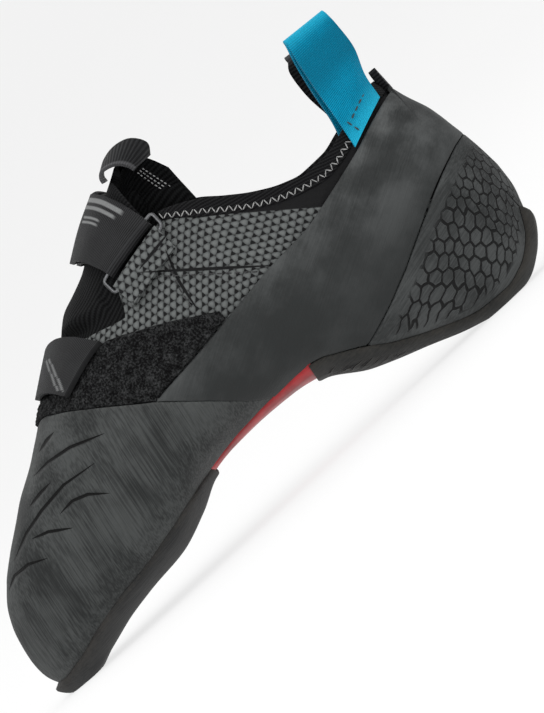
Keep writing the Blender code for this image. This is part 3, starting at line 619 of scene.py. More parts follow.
# a grid laid on the last: columns along the shoe, rows round it
def makeGrid(name, points, spots, marks):
    columns, rows = len(points), len(points[0])
    deselect()
    bpy.ops.mesh.primitive_grid_add(x_subdivisions=columns - 1, y_subdivisions=rows - 1, size=1)
    piece = bpy.context.object
    piece.name = name
    mesh = piece.data
    order = []
    for vertex in mesh.vertices:
        i = round((vertex.co.x + 0.5) * (columns - 1))
        j = round((vertex.co.y + 0.5) * (rows - 1))
        order.append((i, j))
        vertex.co = points[i][j] * mm
    layer = mesh.uv_layers[0]
    layer.name = "UVMap"
    for loop in mesh.loops:
        i, j = order[loop.vertex_index]
        layer.data[loop.index].uv = (spots[i][j][0] / uvUnit, spots[i][j][1] / uvUnit)
    for mark, table in marks.items():
        held = mesh.attributes.new(mark, "FLOAT", "POINT")
        for index, (i, j) in enumerate(order):
            held.data[index].value = table[i][j]
    return piece


def joinPieces(pieces, name):
    deselect()
    for piece in pieces:
        piece.select_set(True)
    bpy.context.view_layer.objects.active = pieces[0]
    if len(pieces) > 1:
        bpy.ops.object.join()
    made = bpy.context.object
    made.name = name
    made.data.name = name
    return made


def onMesh(*steps):
    bpy.ops.object.mode_set(mode="EDIT")
    for step, settings in steps:
        bpy.ops.mesh.select_all(action="SELECT")
        step(**settings)
    bpy.ops.object.mode_set(mode="OBJECT")


def weldAndFace(piece):
    # merges the sides' shared line, then turns all faces away from the last's middle
    tools = bpy.ops.mesh
    onMesh((tools.remove_doubles, {"threshold": 0.02 * mm}),
           (tools.dissolve_degenerate, {"threshold": 0.01 * mm}),
           (tools.normals_make_consistent, {"inside": False}))
    votes = sum(1 if face.normal.dot(awayFromAxis(face.center)) > 0 else -1 for face in piece.data.polygons)
    if votes < 0:
        onMesh((tools.flip_normals, {}))


inward, centred = -1.0, 0.0


def thicken(piece, thick, offset=inward, inner=0, rounding=0.0):
    solid = piece.modifiers.new("wall", "SOLIDIFY")
    solid.thickness = thick * mm
    solid.offset = offset
    solid.use_even_offset = False
    solid.material_offset = inner
    bpy.ops.object.modifier_apply(modifier=solid.name)
    if rounding:
        soft = piece.modifiers.new("rim", "BEVEL")
        soft.width = rounding * mm
        soft.segments = 3
        soft.limit_method = "ANGLE"
        soft.angle_limit = math.radians(50)
        bpy.ops.object.modifier_apply(modifier=soft.name)
    bpy.ops.object.shade_smooth_by_angle(angle=math.radians(45))


def dress(piece, node, slot, *finishes):
    piece.data.materials.clear()
    for finish in finishes:
        piece.data.materials.append(looks[finish])
    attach(piece, "root")
    if node:
        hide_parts(node)
    print("made", piece.name, len(piece.data.polygons), "faces")


def awayFromAxis(point):
    x = min(max(point.x / mm, -200.0), 15.0)
    cut = section(alongOf(round(x, 1)))
    return Vector((point.x - x * mm, point.y - cut[4] * mm, point.z - (cut[1] + 0.4 * (cut[2] - cut[1])) * mm))


nearEdge = [0.0, 0.2, 0.5, 0.9, 1.5]
roundWide, grimeWide = 1.4, 2.2  # how far from a border a panel's rounding and its grime reach
widestTurn = 88


def spread(total, count):
    # distances across a strip, close together at both borders
    inner = count - 2 * len(nearEdge)
    near = [min(d, total * 0.02 * k) for k, d in enumerate(nearEdge)] if total < 12 else nearEdge
    first, last = near[-1], total - near[-1]
    middle = [first + (last - first) * (k + 1) / (inner + 1) for k in range(inner)]
    return near + middle + [total - d for d in reversed(near)]


def waver(base, size, deep):
    return deep * noise.noise(base / size)


def ripple(size, deep):
    return lambda base, side, q: waver(base, size, deep)


def flat(off):
    return lambda x, side, q, t: off


def thinEdge(full, thin, share):
    # thins to the upper border over this share of the piece
    return lambda x, side, q, t: thin + (full - thin) * math.sqrt(min((1 - t) / share, 1.0))


def both(*span):
    return {lateral: span, medial: span}


def allRound(x, side):
    return keel


def layPanel(name, spans, columns, rows, outer, edgeRound=0.8, lift=None, grooves=None):
    # spans: side -> (start, end, low, high), the last two as turns from the crown
    start = min(span[0] for span in spans.values())
    end = max(span[1] for span in spans.values())
    first, last = alongOf(start), alongOf(end)
    xs = [section(first + (last - first) * k / columns)[0] for k in range(1, columns)]
    xs = [x for x in xs if start + 0.3 < x < end - 0.3]
    stops = {start, end}
    for span in spans.values():
        for limit, ahead in ((span[0], 1), (span[1], -1)):
            stops.add(limit)
            atPole = limit <= toeTip + 0.01 or limit >= heelTip - 0.01
            if not atPole:
                stops.update(limit + ahead * d for d in nearEdge[1:])
    xs = sorted(stops | {x for x in xs if min(abs(x - s) for s in stops) > 0.35})
    sides = []
    for side, (left, right, low, high) in spans.items():
        points, spots, rim = [], [], []
        many = rows[side] if isinstance(rows, dict) else rows
        for x in xs:
            if x < left - 1e-6 or x > right + 1e-6:
                continue
            table = girth(x, side)
            a = low(x, side)
            c = min(high(x, side), a)
            farA, farC = farOf(table, a), farOf(table, c)
            total = farA - farC
            endNear = 99.0
            if left > toeTip + 0.01:
                endNear = x - left
            if right < heelTip - 0.01:
                endNear = min(endNear, right - x)
            row, spot, rims = [], [], []
            for k, d in enumerate(spread(total, many)):
                q = a if k == 0 else c if k == many - 1 else turnOf(table, farA - d)
                near = endNear
                if a < keel - 0.01:
                    near = min(near, d)
                if c > crown + 0.01:
                    near = min(near, total - d)
                t = d / total if total > 0.01 else 0.0
                off = outer(x, side, q, t)
                base = bodyPoint(x, side * q, off)
                lean = 1 - min(max(near, 0.0) / roundWide, 1.0)
                drop = edgeRound * (1 - math.sqrt(max(1 - lean * lean, 0.0)))
                cut = grooves(base, side) if grooves else 0.0
                raised = lift(base, side, q) if lift else 0.0
                row.append(bodyPoint(x, side * q, off - drop - cut + raised))
                spot.append((x, farOf(table, q) - farOf(table, widestTurn)))
                rims.append(math.exp(-max(near, 0.0) / grimeWide))
            points.append(row)
            spots.append(spot)
            rim.append(rims)
        sides.append(makeGrid(name, points, spots, {"rim": rim}))
    piece = joinPieces(sides, name)
    weldAndFace(piece)
    return piece


# quarter, vamp and lining in one shell
upperSet = {"columns": 170, "rows": 46, "wall": 2.0, "openStart": -202.0, "openEnd": 8.0}


def upperLow(x, side):
    if x <= upperSet["openStart"] or x >= upperSet["openEnd"]:
        return keel
    return keel - 27.0 * math.sqrt(min((x - upperSet["openStart"]) / 14, (upperSet["openEnd"] - x) / 10, 1.0))


def throatTurn(x, side):
    if x < -131 or x > 19:
        return crown
    if side == medial and x < -77:
        return smoothAt(medialThroat, x)
    return edge("throat", 0.0, 0.0)(x, side)


def lineNear(spot, lines):
    # distance to the nearest line, and how far that is from the line's ends
    best, tip = 99.0, 0.0
    for line in lines:
        for k, (a, b) in enumerate(zip(line, line[1:])):
            ax, az = a
            dx, dz = b[0] - ax, b[1] - az
            t = ((spot[0] - ax) * dx + (spot[1] - az) * dz) / (dx * dx + dz * dz)
            t = min(max(t, 0.0), 1.0)
            d = math.hypot(spot[0] - ax - dx * t, spot[1] - az - dz * t)
            if d < best:
                ends = []
                if k == 0:
                    ends.append(t)
                if k == len(line) - 2:
                    ends.append(1 - t)
                best = d
                tip = min(ends) * math.hypot(dx, dz) if ends else 9.0
    return best, tip


def quarterLift(base, side, q):
    lift = waver(base, 16.0, 0.35)
    if side == lateral and -95 < base.x < -50:
        d = lineNear((base.x, base.z), quarterSeams)[0]
        lift += 0.35 * bellAt(d, 1.9, 0.9) - 0.5 * bellAt(d, 0.0, 0.7)
    return lift


def makeUpper(s):
    piece = layPanel("upperShell", both(toeTip, heelTip, upperLow, throatTurn), s["columns"], s["rows"],
                     flat(0.0), 0.25, quarterLift)
    for look in ("pebble", "lining"):
        piece.data.materials.append(looks[look])
    thicken(piece, s["wall"], inward, 1)
    kept = [face.material_index for face in piece.data.polygons]
    dress(piece, "upper", "textile", "pebble", "lining")
    for face, index in zip(piece.data.polygons, kept):
        face.material_index = index


makeUpper(upperSet)

# rubber over the toes, with its slits
toeSet = {"columns": 190, "rows": {lateral: 134, medial: 58}, "off": 2.4, "thick": 1.1, "slitDeep": 0.5,
          "slitWide": 0.8, "leaves": -157.0, "joins": -149.5}


def slitDepth(base, side):
    if side != lateral or base.y > 16 or base.x > -136 or base.z < 40:
        return 0.0
    d, tip = lineNear((base.x, base.z), slits)
    if d > 3:
        return 0.0
    return toeSet["slitDeep"] * bellAt(d, 0.0, toeSet["slitWide"]) * min(tip / 2.5 + 0.1, 1.0)


def toeLow(x, side):
    # runs on under the sole's edge, and further at the tip
    return edge("sole" if x < -120.4 else "arch", 1.2 + 30 * blendAt(-x, 209, 214))(x, side)


def toeHigh(x, side):
    # the border leaves the crown slowly enough for the grid to follow
    leaves, joins = toeSet["leaves"], toeSet["joins"]
    full = edge("toe", 0.1)(max(x, joins), side)
    return full if x > joins else crown if x < leaves else full * (x - leaves) / (joins - leaves)


def toeLift(base, side, q):
    lift = waver(base, 11.0, 0.3)
    if side == lateral and base.x < -136 and base.z > 38:
        d, tip = lineNear((base.x, base.z), slits)
        lift += 0.2 * bellAt(d, 1.5, 1.0) * min(tip / 4, 1.0)
    return lift


def makeToe(s):
    piece = layPanel("toeRubber", both(toeTip, -86.6, toeLow, toeHigh), s["columns"], s["rows"],
                     flat(s["off"]), 0.3, toeLift, slitDepth)
    thicken(piece, s["thick"])
    dress(piece, "toe_rubber", "black_rubber", "toe")


makeToe(toeSet)

# soles, resting on the floor
soleSet = {"columns": 110, "rows": 48, "sole": 5.6, "heel": 5.3, "arch": 3.8, "thick": 2.2, "archThick": 1.6}


def rest(piece):
    for vertex in piece.data.vertices:
        vertex.co.z = max(vertex.co.z, 0.0)


def makeSoles(s):
    # name, node, look, start, end, high, thickest, thinnest
    for name, node, look, start, end, high, full, thin in (
            ("outsoleRubber", "outsole", "sole", -214.6, -120.9, edge("sole", 0.1), s["sole"], 2.7),
            ("heelSoleRubber", "heel_sole", "strip", -69.0, 25.0, edge("heel", 0.3), s["heel"], 2.9)):
        piece = layPanel(name, both(start, end, allRound, high), s["columns"], s["rows"],
                         thinEdge(full, thin, 0.4), 0.45, ripple(14.0, 0.2))
        rest(piece)
        thicken(piece, s["thick"])
        dress(piece, node, "black_rubber", look)
    piece = layPanel("archPlate", both(-121.4, -67.9, allRound, edge("arch", 0.4)), 50, 40,
                     thinEdge(s["arch"], 2.2, 0.25), 0.5)
    thicken(piece, s["archThick"])
    dress(piece, "arch_plate", "red_plate", "red")


makeSoles(soleSet)

# rubber round the heel and along the sides
randSet = {"cup": 2.5, "rand": 2.6, "edge": 1.7, "thick": 1.2, "columns": 150, "rows": 44}


def cupLow(x, side):
    return keel if x > 25.0 else edge("heel", 1.0)(x, side)


def cupHigh(x, side):
    return crown if x > 28.6 else edge("cup", 0.3)(x, side)


def randLow(x, side):
    if x > 28.2:
        return crown
    if x < -86.5:
        return edge("toe", -0.1)(x, side)
    if x < -69.4:
        return edge("arch", 0.6)(x, side)
    return edge("heel" if x < -47.3 else "cup", -0.3)(x, side)


def randHigh(x, side):
    return crown if x > 19 else edge("rand")(x, side)


def makeRand(s):
    piece = layPanel("heelCupRubber", both(-47.3, heelTip, cupLow, cupHigh), 110, s["rows"], flat(s["cup"]), 0.7,
                     ripple(15.0, 0.2))
    thicken(piece, s["thick"])
    dress(piece, "heel_cup", "black_rubber", "cup")
    piece = layPanel("randRubber", both(-118.8, 28.4, randLow, randHigh), s["columns"], s["rows"],
                     thinEdge(s["rand"], s["edge"], 0.14), 0.4, ripple(12.0, 0.35))
    thicken(piece, s["thick"])
    dress(piece, "rand", "grey_rubber", "rand")


makeRand(randSet)

# sock, tongue, cuff and pile
softSet = {"tongue": 3.0, "cuffOut": 0.9, "cuffThick": 2.7, "pile": 2.1, "pileThick": 1.6, "sock": 2.2}


def tongueLow(x, side):
    return throatTurn(x, side) + (14.0 if side == lateral else 18.0)


def tongueHigh(x, side):
    return crown if x < -78 else edge("tongue", 0.0, -2.0)(x, side)


def tongueOff(x, side, q, t):
    room = min(throatTurn(x + shift, side) for shift in (-2.0, 0.0, 3.5, 7.0)) - q
    if x < -122:
        room = max(room, 13.0 - q)
    rise = blendAt(min((room - 4.0) / 8.0, (x + 139.0) / 7.0), 0.0, 1.0)
    return -3.2 + (2.6 + 2.2 * bellAt(x, -122.5, 7.5)) * rise


def makeSoft(s):
    piece = layPanel("insoleSock", both(-204.8, 2.5, allRound, lambda x, side: 112.0), 90, 24, flat(-2.5), 0.4)
    thicken(piece, s["sock"])
    dress(piece, "insole", "knit", "lining")

    spans = {side: (-141.0, end, tongueLow, tongueHigh) for side, end in ((lateral, -78.0), (medial, -58.2))}
    piece = layPanel("tongueKnit", spans, 80, 40, tongueOff, 0.9, ripple(9.0, 0.45))
    thicken(piece, s["tongue"], rounding=0.8)
    dress(piece, "tongue", "knit", "knit")

    low = edge("throat", 0.6, 0.0)
    high = edge("cuff", 0.0, 0.0)
    spans = both(-72.5, 18.8, lambda x, side: crown if x > 18.7 else low(x, side),
                 lambda x, side: crown if x > 17.6 else high(x, side))
    piece = layPanel("collarCuff", spans, 110, 20, flat(s["cuffOut"]), 0.8, ripple(7.0, 0.3))
    thicken(piece, s["cuffThick"], rounding=0.9)
    dress(piece, "collar_cuff", "knit", "cuff")

    def pileLow(x, side):
        return max(toeHigh(x, side) - 0.2, crown) if x < -118.6 else edge("rand", -0.3)(x, side)

    def pileHigh(x, side):
        return crown if x < -146 else edge("pile")(x, side)

    def pileOff(x, side, q, t):
        return s["pile"] + 1.3 * blendAt(-x, 146, 151)

    def tufts(base, side, q):
        return waver(base, 1.3, 0.55) + waver(base, 4.0, 0.4)

    piece = layPanel("pilePatch", {lateral: (-156.6, -80.0, pileLow, pileHigh)}, 110, 56, pileOff, 1.1, tufts)
    thicken(piece, s["pileThick"])
    dress(piece, "loop_field", "pile", "pile")


makeSoft(softSet)


def between(a, b, t):
    return [p + (q - p) * t for p, q in zip(a, b)]


def finer(line, many):
    # the line with this many steps to each of its parts, without its last point
    return [between(a, b, k / many) for a, b in zip(line, line[1:]) for k in range(many)]


# ribbons run through a few rows of points, then drawn fine
def through(points, share):
    reach = share * (len(points) - 1)
    i = min(int(reach), len(points) - 2)
    t = reach - i
    b, c = points[i], points[i + 1]
    a = points[i - 1] if i > 0 else b * 2 - c
    d = points[i + 2] if i < len(points) - 2 else c * 2 - b
    return (b * 2 + (c - a) * t + (a * 2 - b * 5 + c * 4 - d) * t * t + (b * 3 - a - c * 3 + d) * t ** 3) / 2


def fineRows(rows, many, across):
    files = list(zip(*rows))
    lengthwise = [[through(file, k / many) for file in files] for k in range(many + 1)]
    return [[through(row, j / across) for j in range(across + 1)] for row in lengthwise]


# light and shade mark painted highlight and painted shade; print marks printed lines
ribbonMarks = ("light", "shade", "print")


def layRibbon(name, rows, many, across, thick, markers=None, rounding=0.28):
    points = fineRows(rows, many, across)
    shares = [j / across for j in range(across + 1)]
    far = distances([row[across // 2] for row in points])
    wide = distances(points[0])[-1]
    spots = [[(reach, wide * share) for share in shares] for reach in far]
    tones = [[markers(reach, far[-1], share) if markers else (0, 0, 0) for share in shares] for reach in far]
    marks = {mark: [[tone[index] for tone in row] for row in tones] for index, mark in enumerate(ribbonMarks)}
    piece = makeGrid(name, points, spots, marks)
    thicken(piece, thick, centred, 0, rounding)
    return piece


def perMm(x, q, off):
    return 1.0 / (bodyPoint(x, q + 0.5, off) - bodyPoint(x, q - 0.5, off)).length


ringSet = {"lift": 3.3, "wire": 0.8, "bend": 1.8, "front": 105.8, "rear": 111.3, "apart": 6.0,
           "strapFront": -99.6, "strapRear": -77.0, "keeperFront": -101.4, "keeperRear": -76.2,
           "strap": 1.6, "keeper": 1.2}


def halfTurn(lift, radius, start, stop):
    turns = [start + (stop - start) * k / 8 for k in range(9)]
    return [(radius * math.cos(turn), lift + radius * math.sin(turn)) for turn in turns]


def ribbonRows(front, rear, across):
    return [[bodyPoint(*between(a, b, j / across)) for j in range(across + 1)] for a, b in zip(front, rear)]


def makeUpperStrap(s):
    lift = s["lift"]
    turn = s["wire"] + 0.35 + s["strap"] / 2
    low = 1.3
    high = low + s["strap"] + 1.1
    under = [(q, low) for q in (-62.0, -50.0, -38.0, -27.0, -16.0, -5.0)]
    over = [(q, high) for q in (-5.0, -16.0, -27.0, -38.0, -46.0)]

    def line(x0, z0, xCrown, xMedial):
        bar = turnAt(x0, lateral, z0, lift)
        scale = perMm(x0, bar, lift)
        path = under + [(bar * t, low) for t in (0.25, 0.6, 0.9)]
        path += [(bar + past * scale, off) for past, off in halfTurn(lift, turn, -math.pi / 2, math.pi / 2)]
        path += [(bar * 0.9, lift + turn - 0.2), (bar * 0.6, high + 0.9), (bar * 0.25, high)] + over
        found = []
        for q, off in path:
            reach = min(q / bar, 1.0) if q > 0 else min(-q / 62.0, 1.0)
            found.append((xCrown + ((x0 if q > 0 else xMedial) - xCrown) * reach, q, off))
        return found

    front = line(s["strapFront"], s["front"], -106.8, -100.5)
    rear = line(s["strapRear"], s["rear"], -85.0, -72.0)

    def stripes(far, total, v):
        # plain stripes on the part that folds back
        back = total - far
        long = any(start < back < stop and abs(v - at) < half for start, stop, at, half in
                   ((34, 66, 0.9, 0.03), (30, 64, 0.78, 0.03), (42, 58, 0.64, 0.018), (42, 57, 0.57, 0.018)))
        return (0.0, 0.0, 0.85 if long else 0.0)

    piece = layRibbon("upperStrap", ribbonRows(front, rear, 6), 170, 56, s["strap"], stripes)
    dress(piece, "upper_strap", "webbing", "strap")


def makeRing(s):
    front = (s["strapFront"] - 3.2, s["front"] - 0.8)
    rear = (s["strapRear"] + 3, s["rear"] + 0.7)
    corners = [(x, turnAt(x, lateral, z - down * s["apart"], s["lift"]), s["lift"] - down * 0.2)
               for (x, z), down in ((front, 0), (rear, 0), (rear, 1), (front, 1))]
    points = []
    for i, spot in enumerate(corners):
        here = bodyPoint(*spot)
        before = bodyPoint(*corners[i - 1])
        after = bodyPoint(*corners[(i + 1) % 4])
        into = here + (before - here).normalized() * s["bend"]
        out = here + (after - here).normalized() * s["bend"]
        for k in range(6):
            t = k / 5
            points.append(into * (1 - t) ** 2 + here * 2 * t * (1 - t) + out * t * t)
        for k in range(1, 5 if i in (0, 2) else 0):
            points.append(bodyPoint(*between(spot, corners[(i + 1) % 4], k / 5)))
    deselect()
    bpy.ops.curve.primitive_nurbs_path_add()
    piece = bpy.context.object
    piece.name = "strapRing"
    line = piece.data
    line.splines.clear()
    line.dimensions = "3D"
    spline = line.splines.new("POLY")
    spline.points.add(len(points) - 1)
    for target, point in zip(spline.points, points):
        target.co = (*(point * mm), 1)
    spline.use_cyclic_u = True
    line.bevel_depth = s["wire"] * mm
    line.bevel_resolution = 6
    bpy.ops.object.convert(target="MESH")
    bpy.ops.object.shade_smooth()
    dress(bpy.context.object, "strap_ring", "wire", "wire")


def makeKeeper(s):
    turn = s["wire"] + 0.5 + s["keeper"] / 2
    lift = s["lift"] - 0.2
    low = 0.5 + s["keeper"] / 2

    def line(x, z):
        bar = turnAt(x, lateral, z - s["apart"], s["lift"])
        path = [(8.4, low), (5.2, low), (2.4, low)] + halfTurn(lift, turn, -math.pi / 2, -1.5 * math.pi)
        path += [(2.6, lift + turn - 0.4), (5.2, low + s["keeper"] + 0.7), (8.4, low + s["keeper"] + 0.35)]
        scale = perMm(x, bar, s["lift"])
        return [(x, bar + past * scale, off) for past, off in path]

    front = line(s["keeperFront"], s["front"] - 0.5)
    rear = line(s["keeperRear"], s["rear"] + 0.2)
    piece = layRibbon("ringKeeper", ribbonRows(front, rear, 4), 60, 24, s["keeper"])
    dress(piece, "ring_keeper", "textile", "pebble")


lowerSet = {"thick": 2.2, "pile": 2.4}


def makeLowerStrap(s):
    lift = s["pile"] + 0.7 + s["thick"] / 2
    low = 0.4 + s["thick"] / 2
    path = [(share, low) for share in (1.0, 0.83, 0.66, 0.5)]
    path += [(0.33, low + 0.2), (0.17, low + 1.4), (0.0, lift)]

    def line(xEnd, zEnd, xCrown, xMedial):
        qEnd = turnAt(xEnd, lateral, zEnd, lift)
        qMedial = -turnAt(xMedial, medial, smoothAt(borders["toe"], xMedial) + 3.0, 2.2)
        found = [(xCrown + (xMedial - xCrown) * share, qMedial * share, off) for share, off in path]
        return found + [(xCrown + (xEnd - xCrown) * (k / 4) ** 1.2, qEnd * k / 4, lift) for k in range(1, 5)]

    front = line(-139.9, 83.1, -149.0, -143.0)
    rear = line(-118.4, 89.7, -134.0, -122.0)

    def lines(far, total, v):
        # two light lines slanting to the free end's front corner
        past = total - far - 3.0 - (v - 0.08) * 42.0
        on = 0.06 < v < 0.64 and min(abs(past), abs(past - 4.4)) < 0.9
        return (0.0, 0.0, 0.8 if on else 0.0)

    piece = layRibbon("lowerStrap", ribbonRows(front, rear, 6), 120, 40, s["thick"], lines, 0.5)
    dress(piece, "lower_strap", "webbing", "strap")


makeUpperStrap(ringSet)
makeRing(ringSet)
makeKeeper(ringSet)
makeLowerStrap(lowerSet)

# pull loops: x, z of both edges from the base to the fold
loopSet = {
    "blue": {"left": [(-3.6, 79.8), (-1.4, 92.0), (0.2, 105.0), (2.0, 116.0), (3.6, 123.2)],
             "right": [(13.8, 87.0), (17.0, 97.0), (20.8, 107.0), (21.8, 117.0), (21.8, 122.0)]},
    "black": {"left": [(-0.8, 80.0), (0.0, 90.0), (-1.4, 104.0), (-0.8, 114.5), (1.0, 118.0)],
              "right": [(13.4, 87.0), (17.2, 97.0), (21.4, 105.0), (20.8, 112.0), (19.0, 116.5)]},
    "thick": 1.3, "fold": 2.0, "shift": -2.2}


def makePullLoop(name, node, slot, side, edges, look, s):
    left, right = edges["left"], edges["right"]
    outside = 1.7 + s["thick"] / 2
    inside = -3.3 - s["thick"] / 2
    across, shift = 6, s["shift"]

    def row(level, off, lean, drop=0.0):
        made = []
        for j in range(across + 1):
            t = j / across
            x, z = between(left[level], right[level], t)
            baseX, baseZ = between(left[0], right[0], t)
            x, baseX = x + shift * lean, baseX + shift * lean
            if level == 0:
                made.append(bodyPoint(x, side * turnAt(x, side, z + drop, off), off))
                continue
            share = min(max((z - baseZ - 9.0) / 28.0, 0.0), 1.0)
            holdX = baseX if off == outside else x
            start = bodyPoint(holdX, side * turnAt(holdX, side, baseZ + 4.0, off), off).y
            goal = -side * (25.5 - 9.5 * t) + (side * 2 * s["fold"] if off == inside else 0.0)
            made.append(Vector((x, start + (goal - start) * share, z)))
        return made

    top = len(left) - 1
    rows = [row(level, outside, 0.0) for level in range(top + 1)]
    crest = rows[-1]
    for k in range(1, 5):
        turn = math.pi * k / 5
        rows.append([Vector((p.x + shift * 0.3 * k / 5, p.y + side * s["fold"] * (1 - math.cos(turn)),
                             p.z + s["fold"] * math.sin(turn))) for p in crest])
    rows += [row(level, inside, 1.0 - 0.7 * level / top, 2.0) for level in range(top, -1, -1)]

    def tones(far, total, v):
        # painted highlight on the fold's crest and near the base, painted shade below the crest and over the
        # inner face
        middle = total * 0.5
        light = max(1 - abs(far - middle) / 5.0, 0.0) + max(1 - far / 9.0, 0.0)
        shade = blendAt(far, middle * 0.35, middle * 0.6) * (1 - blendAt(far, middle * 0.75, middle * 0.95))
        shade += blendAt(far, middle * 1.1, middle * 1.2)
        return (min(light, 1.0), min(shade, 1.0), 0.0)

    piece = layRibbon(name, rows, 150, 22, s["thick"], tones)
    dress(piece, node, slot, look)


makePullLoop("pullLoopBlue", "pull_loop_lateral", "blue_ribbon", lateral, loopSet["blue"], "blue", loopSet)
makePullLoop("pullLoopBlack", "pull_loop_medial", "webbing", medial, loopSet["black"], "black",
             dict(loopSet, shift=-1.5))

tabSet = {"ribbon": 1.3, "tab": 2.8}


def makeSmallRibbons(s):
    near = [(-79.8, 131.4), (-79.3, 133.4), (-77.4, 134.9), (-73.6, 134.2), (-70.8, 132.4), (-69.0, 129.8),
            (-68.2, 127.4)]
    far = [(-78.6, 131.0), (-78.0, 133.8), (-74.2, 137.0), (-68.0, 138.4), (-61.8, 136.8), (-58.2, 131.8),
           (-60.4, 127.6)]
    rows = [[Vector(between((a[0], -3.0, a[1]), (b[0], 14.0, b[1]), j / 4)) for j in range(5)]
            for a, b in zip(near, far)]

    def edgeHighlight(far, total, v):
        # painted highlight along the loop's near edge
        return (1.0 if v < 0.09 else 0.0, 0, 0)

    piece = layRibbon("tongueLoop", rows, 60, 16, s["ribbon"], edgeHighlight)
    dress(piece, "tongue_loop", "webbing", "black")
    # heel tab: z, half its width
    outline = [(85.8, 4.6), (89.0, 4.9), (91.6, 4.9), (94.2, 4.3), (96.0, 2.8)]
    rows = [[Vector((20.9 - (half * (j / 2 - 1)) ** 2 / 42.0, half * (j / 2 - 1), z)) for j in range(5)]
            for z, half in outline]
    piece = layRibbon("heelTab", rows, 20, 16, s["tab"], None, 0.6)
    dress(piece, "heel_tab", "webbing", "black")


makeSmallRibbons(tabSet)

# stitches: one is made, the rest are copies of it
stitchSet = {"long": 2.3, "gap": 0.9, "thick": 0.3}


def onWall(x, z, off, side=lateral):
    q = side * turnAt(x, side, z, off)
    return bodyPoint(x, q, off), (bodyPoint(x, q, off + 1.0) - bodyPoint(x, q, off)).normalized()


def sewLine(name, line, finish, slot, s, zigzag=0.0):
    deselect()
    bpy.ops.mesh.primitive_uv_sphere_add(segments=10, ring_count=6, radius=1.0)
    first = bpy.context.object
    for vertex in first.data.vertices:
        vertex.co = vertex.co * Vector((s["long"] / 2, s["thick"], s["thick"] * 0.8))
    far = distances([spot for spot, _ in line])
    step = s["long"] * 0.62 if zigzag else s["long"] + s["gap"]
    copies = []
    for k in range(int(far[-1] / step)):
        reach = (k + 0.5) * step
        i = max(n for n in range(len(far) - 1) if far[n] <= reach)
        t = (reach - far[i]) / (far[i + 1] - far[i])
        spot = line[i][0].lerp(line[i + 1][0], t)
        up = line[i][1].lerp(line[i + 1][1], t).normalized()
        ahead = (line[i + 1][0] - line[i][0]).normalized()
        side = up.cross(ahead).normalized()
        if zigzag:
            ahead = (ahead * 0.55 + side * (zigzag if k % 2 else -zigzag)).normalized()
            side = up.cross(ahead).normalized()
        pose = Matrix((ahead, side, up)).transposed().to_4x4()
        copy = first.copy()
        copy.data = first.data.copy()
        copy.data.transform(Matrix.Diagonal((mm, mm, mm, 1)) @ Matrix.Translation(spot) @ pose)
        bpy.context.scene.collection.objects.link(copy)
        copies.append(copy)
    bpy.data.objects.remove(first, do_unlink=True)
    piece = joinPieces(copies, name)
    bpy.ops.object.shade_smooth()
    dress(piece, None, slot, finish)


def wallLine(points, off, side=lateral):
    return [onWall(x, z, off, side) for x, z in points]


def sew(s):
    zigzag = [(-72.9, 109.2), (-66.5, 104.6), (-60.7, 100.6), (-53.5, 95.0), (-46.8, 90.2), (-40.0, 86.4),
              (-33.3, 83.5), (-25.7, 81.2), (-17.5, 79.9), (-11.2, 80.6), (-3.0, 83.0)]
    for name, side in (("cuffZigzag", lateral), ("cuffZigzagFar", medial)):
        sewLine(name, wallLine(zigzag, 1.0, side), "thread", "textile", dict(s, long=2.6, thick=0.24), 0.85)
    for letter, line in zip("ABC", quarterSeams):
        beside = finer([(x - 1.6, z - 1.2) for x, z in line], 6)
        sewLine("quarterStitch" + letter, wallLine(beside, 0.45), "darkThread", "textile", s)


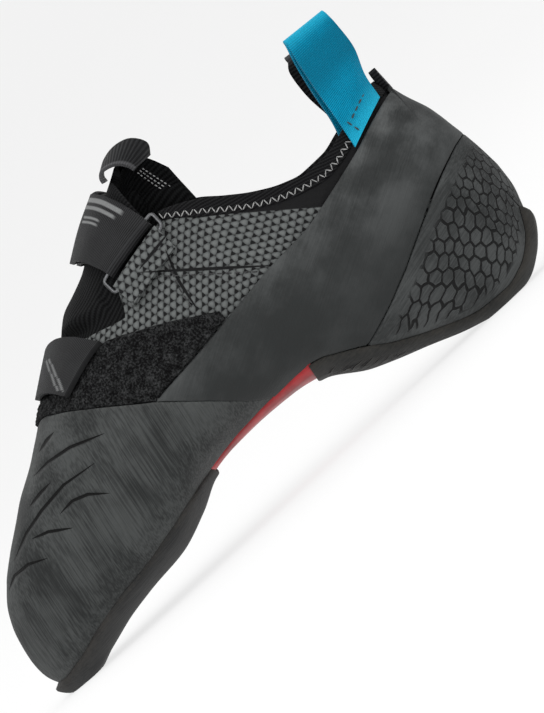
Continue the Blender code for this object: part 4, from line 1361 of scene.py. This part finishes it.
def sewExtras(s):
    corners = [(14.1, 86.0), (14.8, 92.8), (8.0, 90.4), (1.0, 87.5), (1.8, 84.2), (2.4, 81.3)]
    onLoop = []
    for x, z in finer(corners, 5):
        # as far out as the ribbon stands over its base
        share = min(max((x + 3.0) / 17.5, 0.0), 1.0)
        baseX, baseZ = -3.6 + 17.4 * share, 79.8 + 7.2 * share
        y = min(bodyPoint(baseX, turnAt(baseX, lateral, baseZ + rise, 2.35), 2.35).y for rise in (0.0, 4.0))
        onLoop.append((Vector((x, y - 0.95, z)), Vector((0, -1, 0))))
    sewLine("loopBoxStitch", onLoop, "darkThread", "blue_ribbon", s)
    # painted glints: three rows of light grey stitches stand for the glints on the mesh lining
    for letter, shift in zip("ABC", (0.0, 1.3, 2.6)):
        line = []
        for k in range(9):
            x = -68.9 + 4.4 * k / 8 + shift
            q = -turnAt(x, medial, 125.5 - 15.0 * k / 8, -5.0)
            off = tongueOff(x, medial, -q, 0.0) - softSet["tongue"] - 0.2
            spot = bodyPoint(x, q, off)
            line.append((spot, (spot - bodyPoint(x, q, off + 1.0)).normalized()))
        sewLine("tongueMesh" + letter, line, "meshGlint", "knit", dict(s, long=1.3, gap=0.5, thick=0.28))


sew(stitchSet)
sewExtras(stitchSet)
print("stitches sewn")

# floor, backdrop and light
studioSet = {"tone": (0.2, 0.2, 0.2), "glow": 0.745, "key": 17.0, "fill": 6.5, "top": 9.0, "world": 0.52}


def makeStudio(s):
    path = [(-4.0, 0.0), (-1.0, 0.0), (1.2, 0.0), (3.6, 0.0), (4.2, 0.05), (4.7, 0.2), (5.1, 0.5), (5.35, 1.0),
            (5.45, 2.0), (5.5, 6.0)]
    points = [[Vector((x * 1000, y * 1000, z * 1000)) for x in (-6, -2, 2, 6)] for y, z in path]
    floor = makeGrid("studioFloor", points, [[(0, 0)] * 4] * len(path), {})
    bpy.ops.object.shade_smooth()
    paper = Bench("studioPaper", Roughness=0.95, Base_Color=(*s["tone"], 1), Emission_Color=(1, 1, 1, 1),
                  Emission_Strength=s["glow"])
    floor.data.materials.append(paper.material)
    world = bpy.data.worlds.new("studioAir")
    bpy.context.scene.world = world
    world.use_nodes = True
    sky = world.node_tree.nodes["Background"].inputs
    sky["Color"].default_value = (1, 1, 1, 1)
    sky["Strength"].default_value = s["world"]
    lamps = {"keyLamp": ((-0.5, -1.2, 1.3), s["key"], 1.9), "fillLamp": ((0.9, -1.3, 0.6), s["fill"], 2.2),
             "topLamp": ((-0.1, 0.3, 1.6), s["top"], 2.4)}
    for name, (spot, power, size) in lamps.items():
        deselect()
        bpy.ops.object.light_add(type="AREA", location=spot)
        lamp = bpy.context.object
        lamp.name = name
        lamp.data.energy = power
        lamp.data.size = size
        aim = Vector((-0.08, 0.0, 0.05)) - Vector(spot)
        lamp.rotation_euler = aim.to_track_quat("-Z", "Y").to_euler()


makeStudio(studioSet)
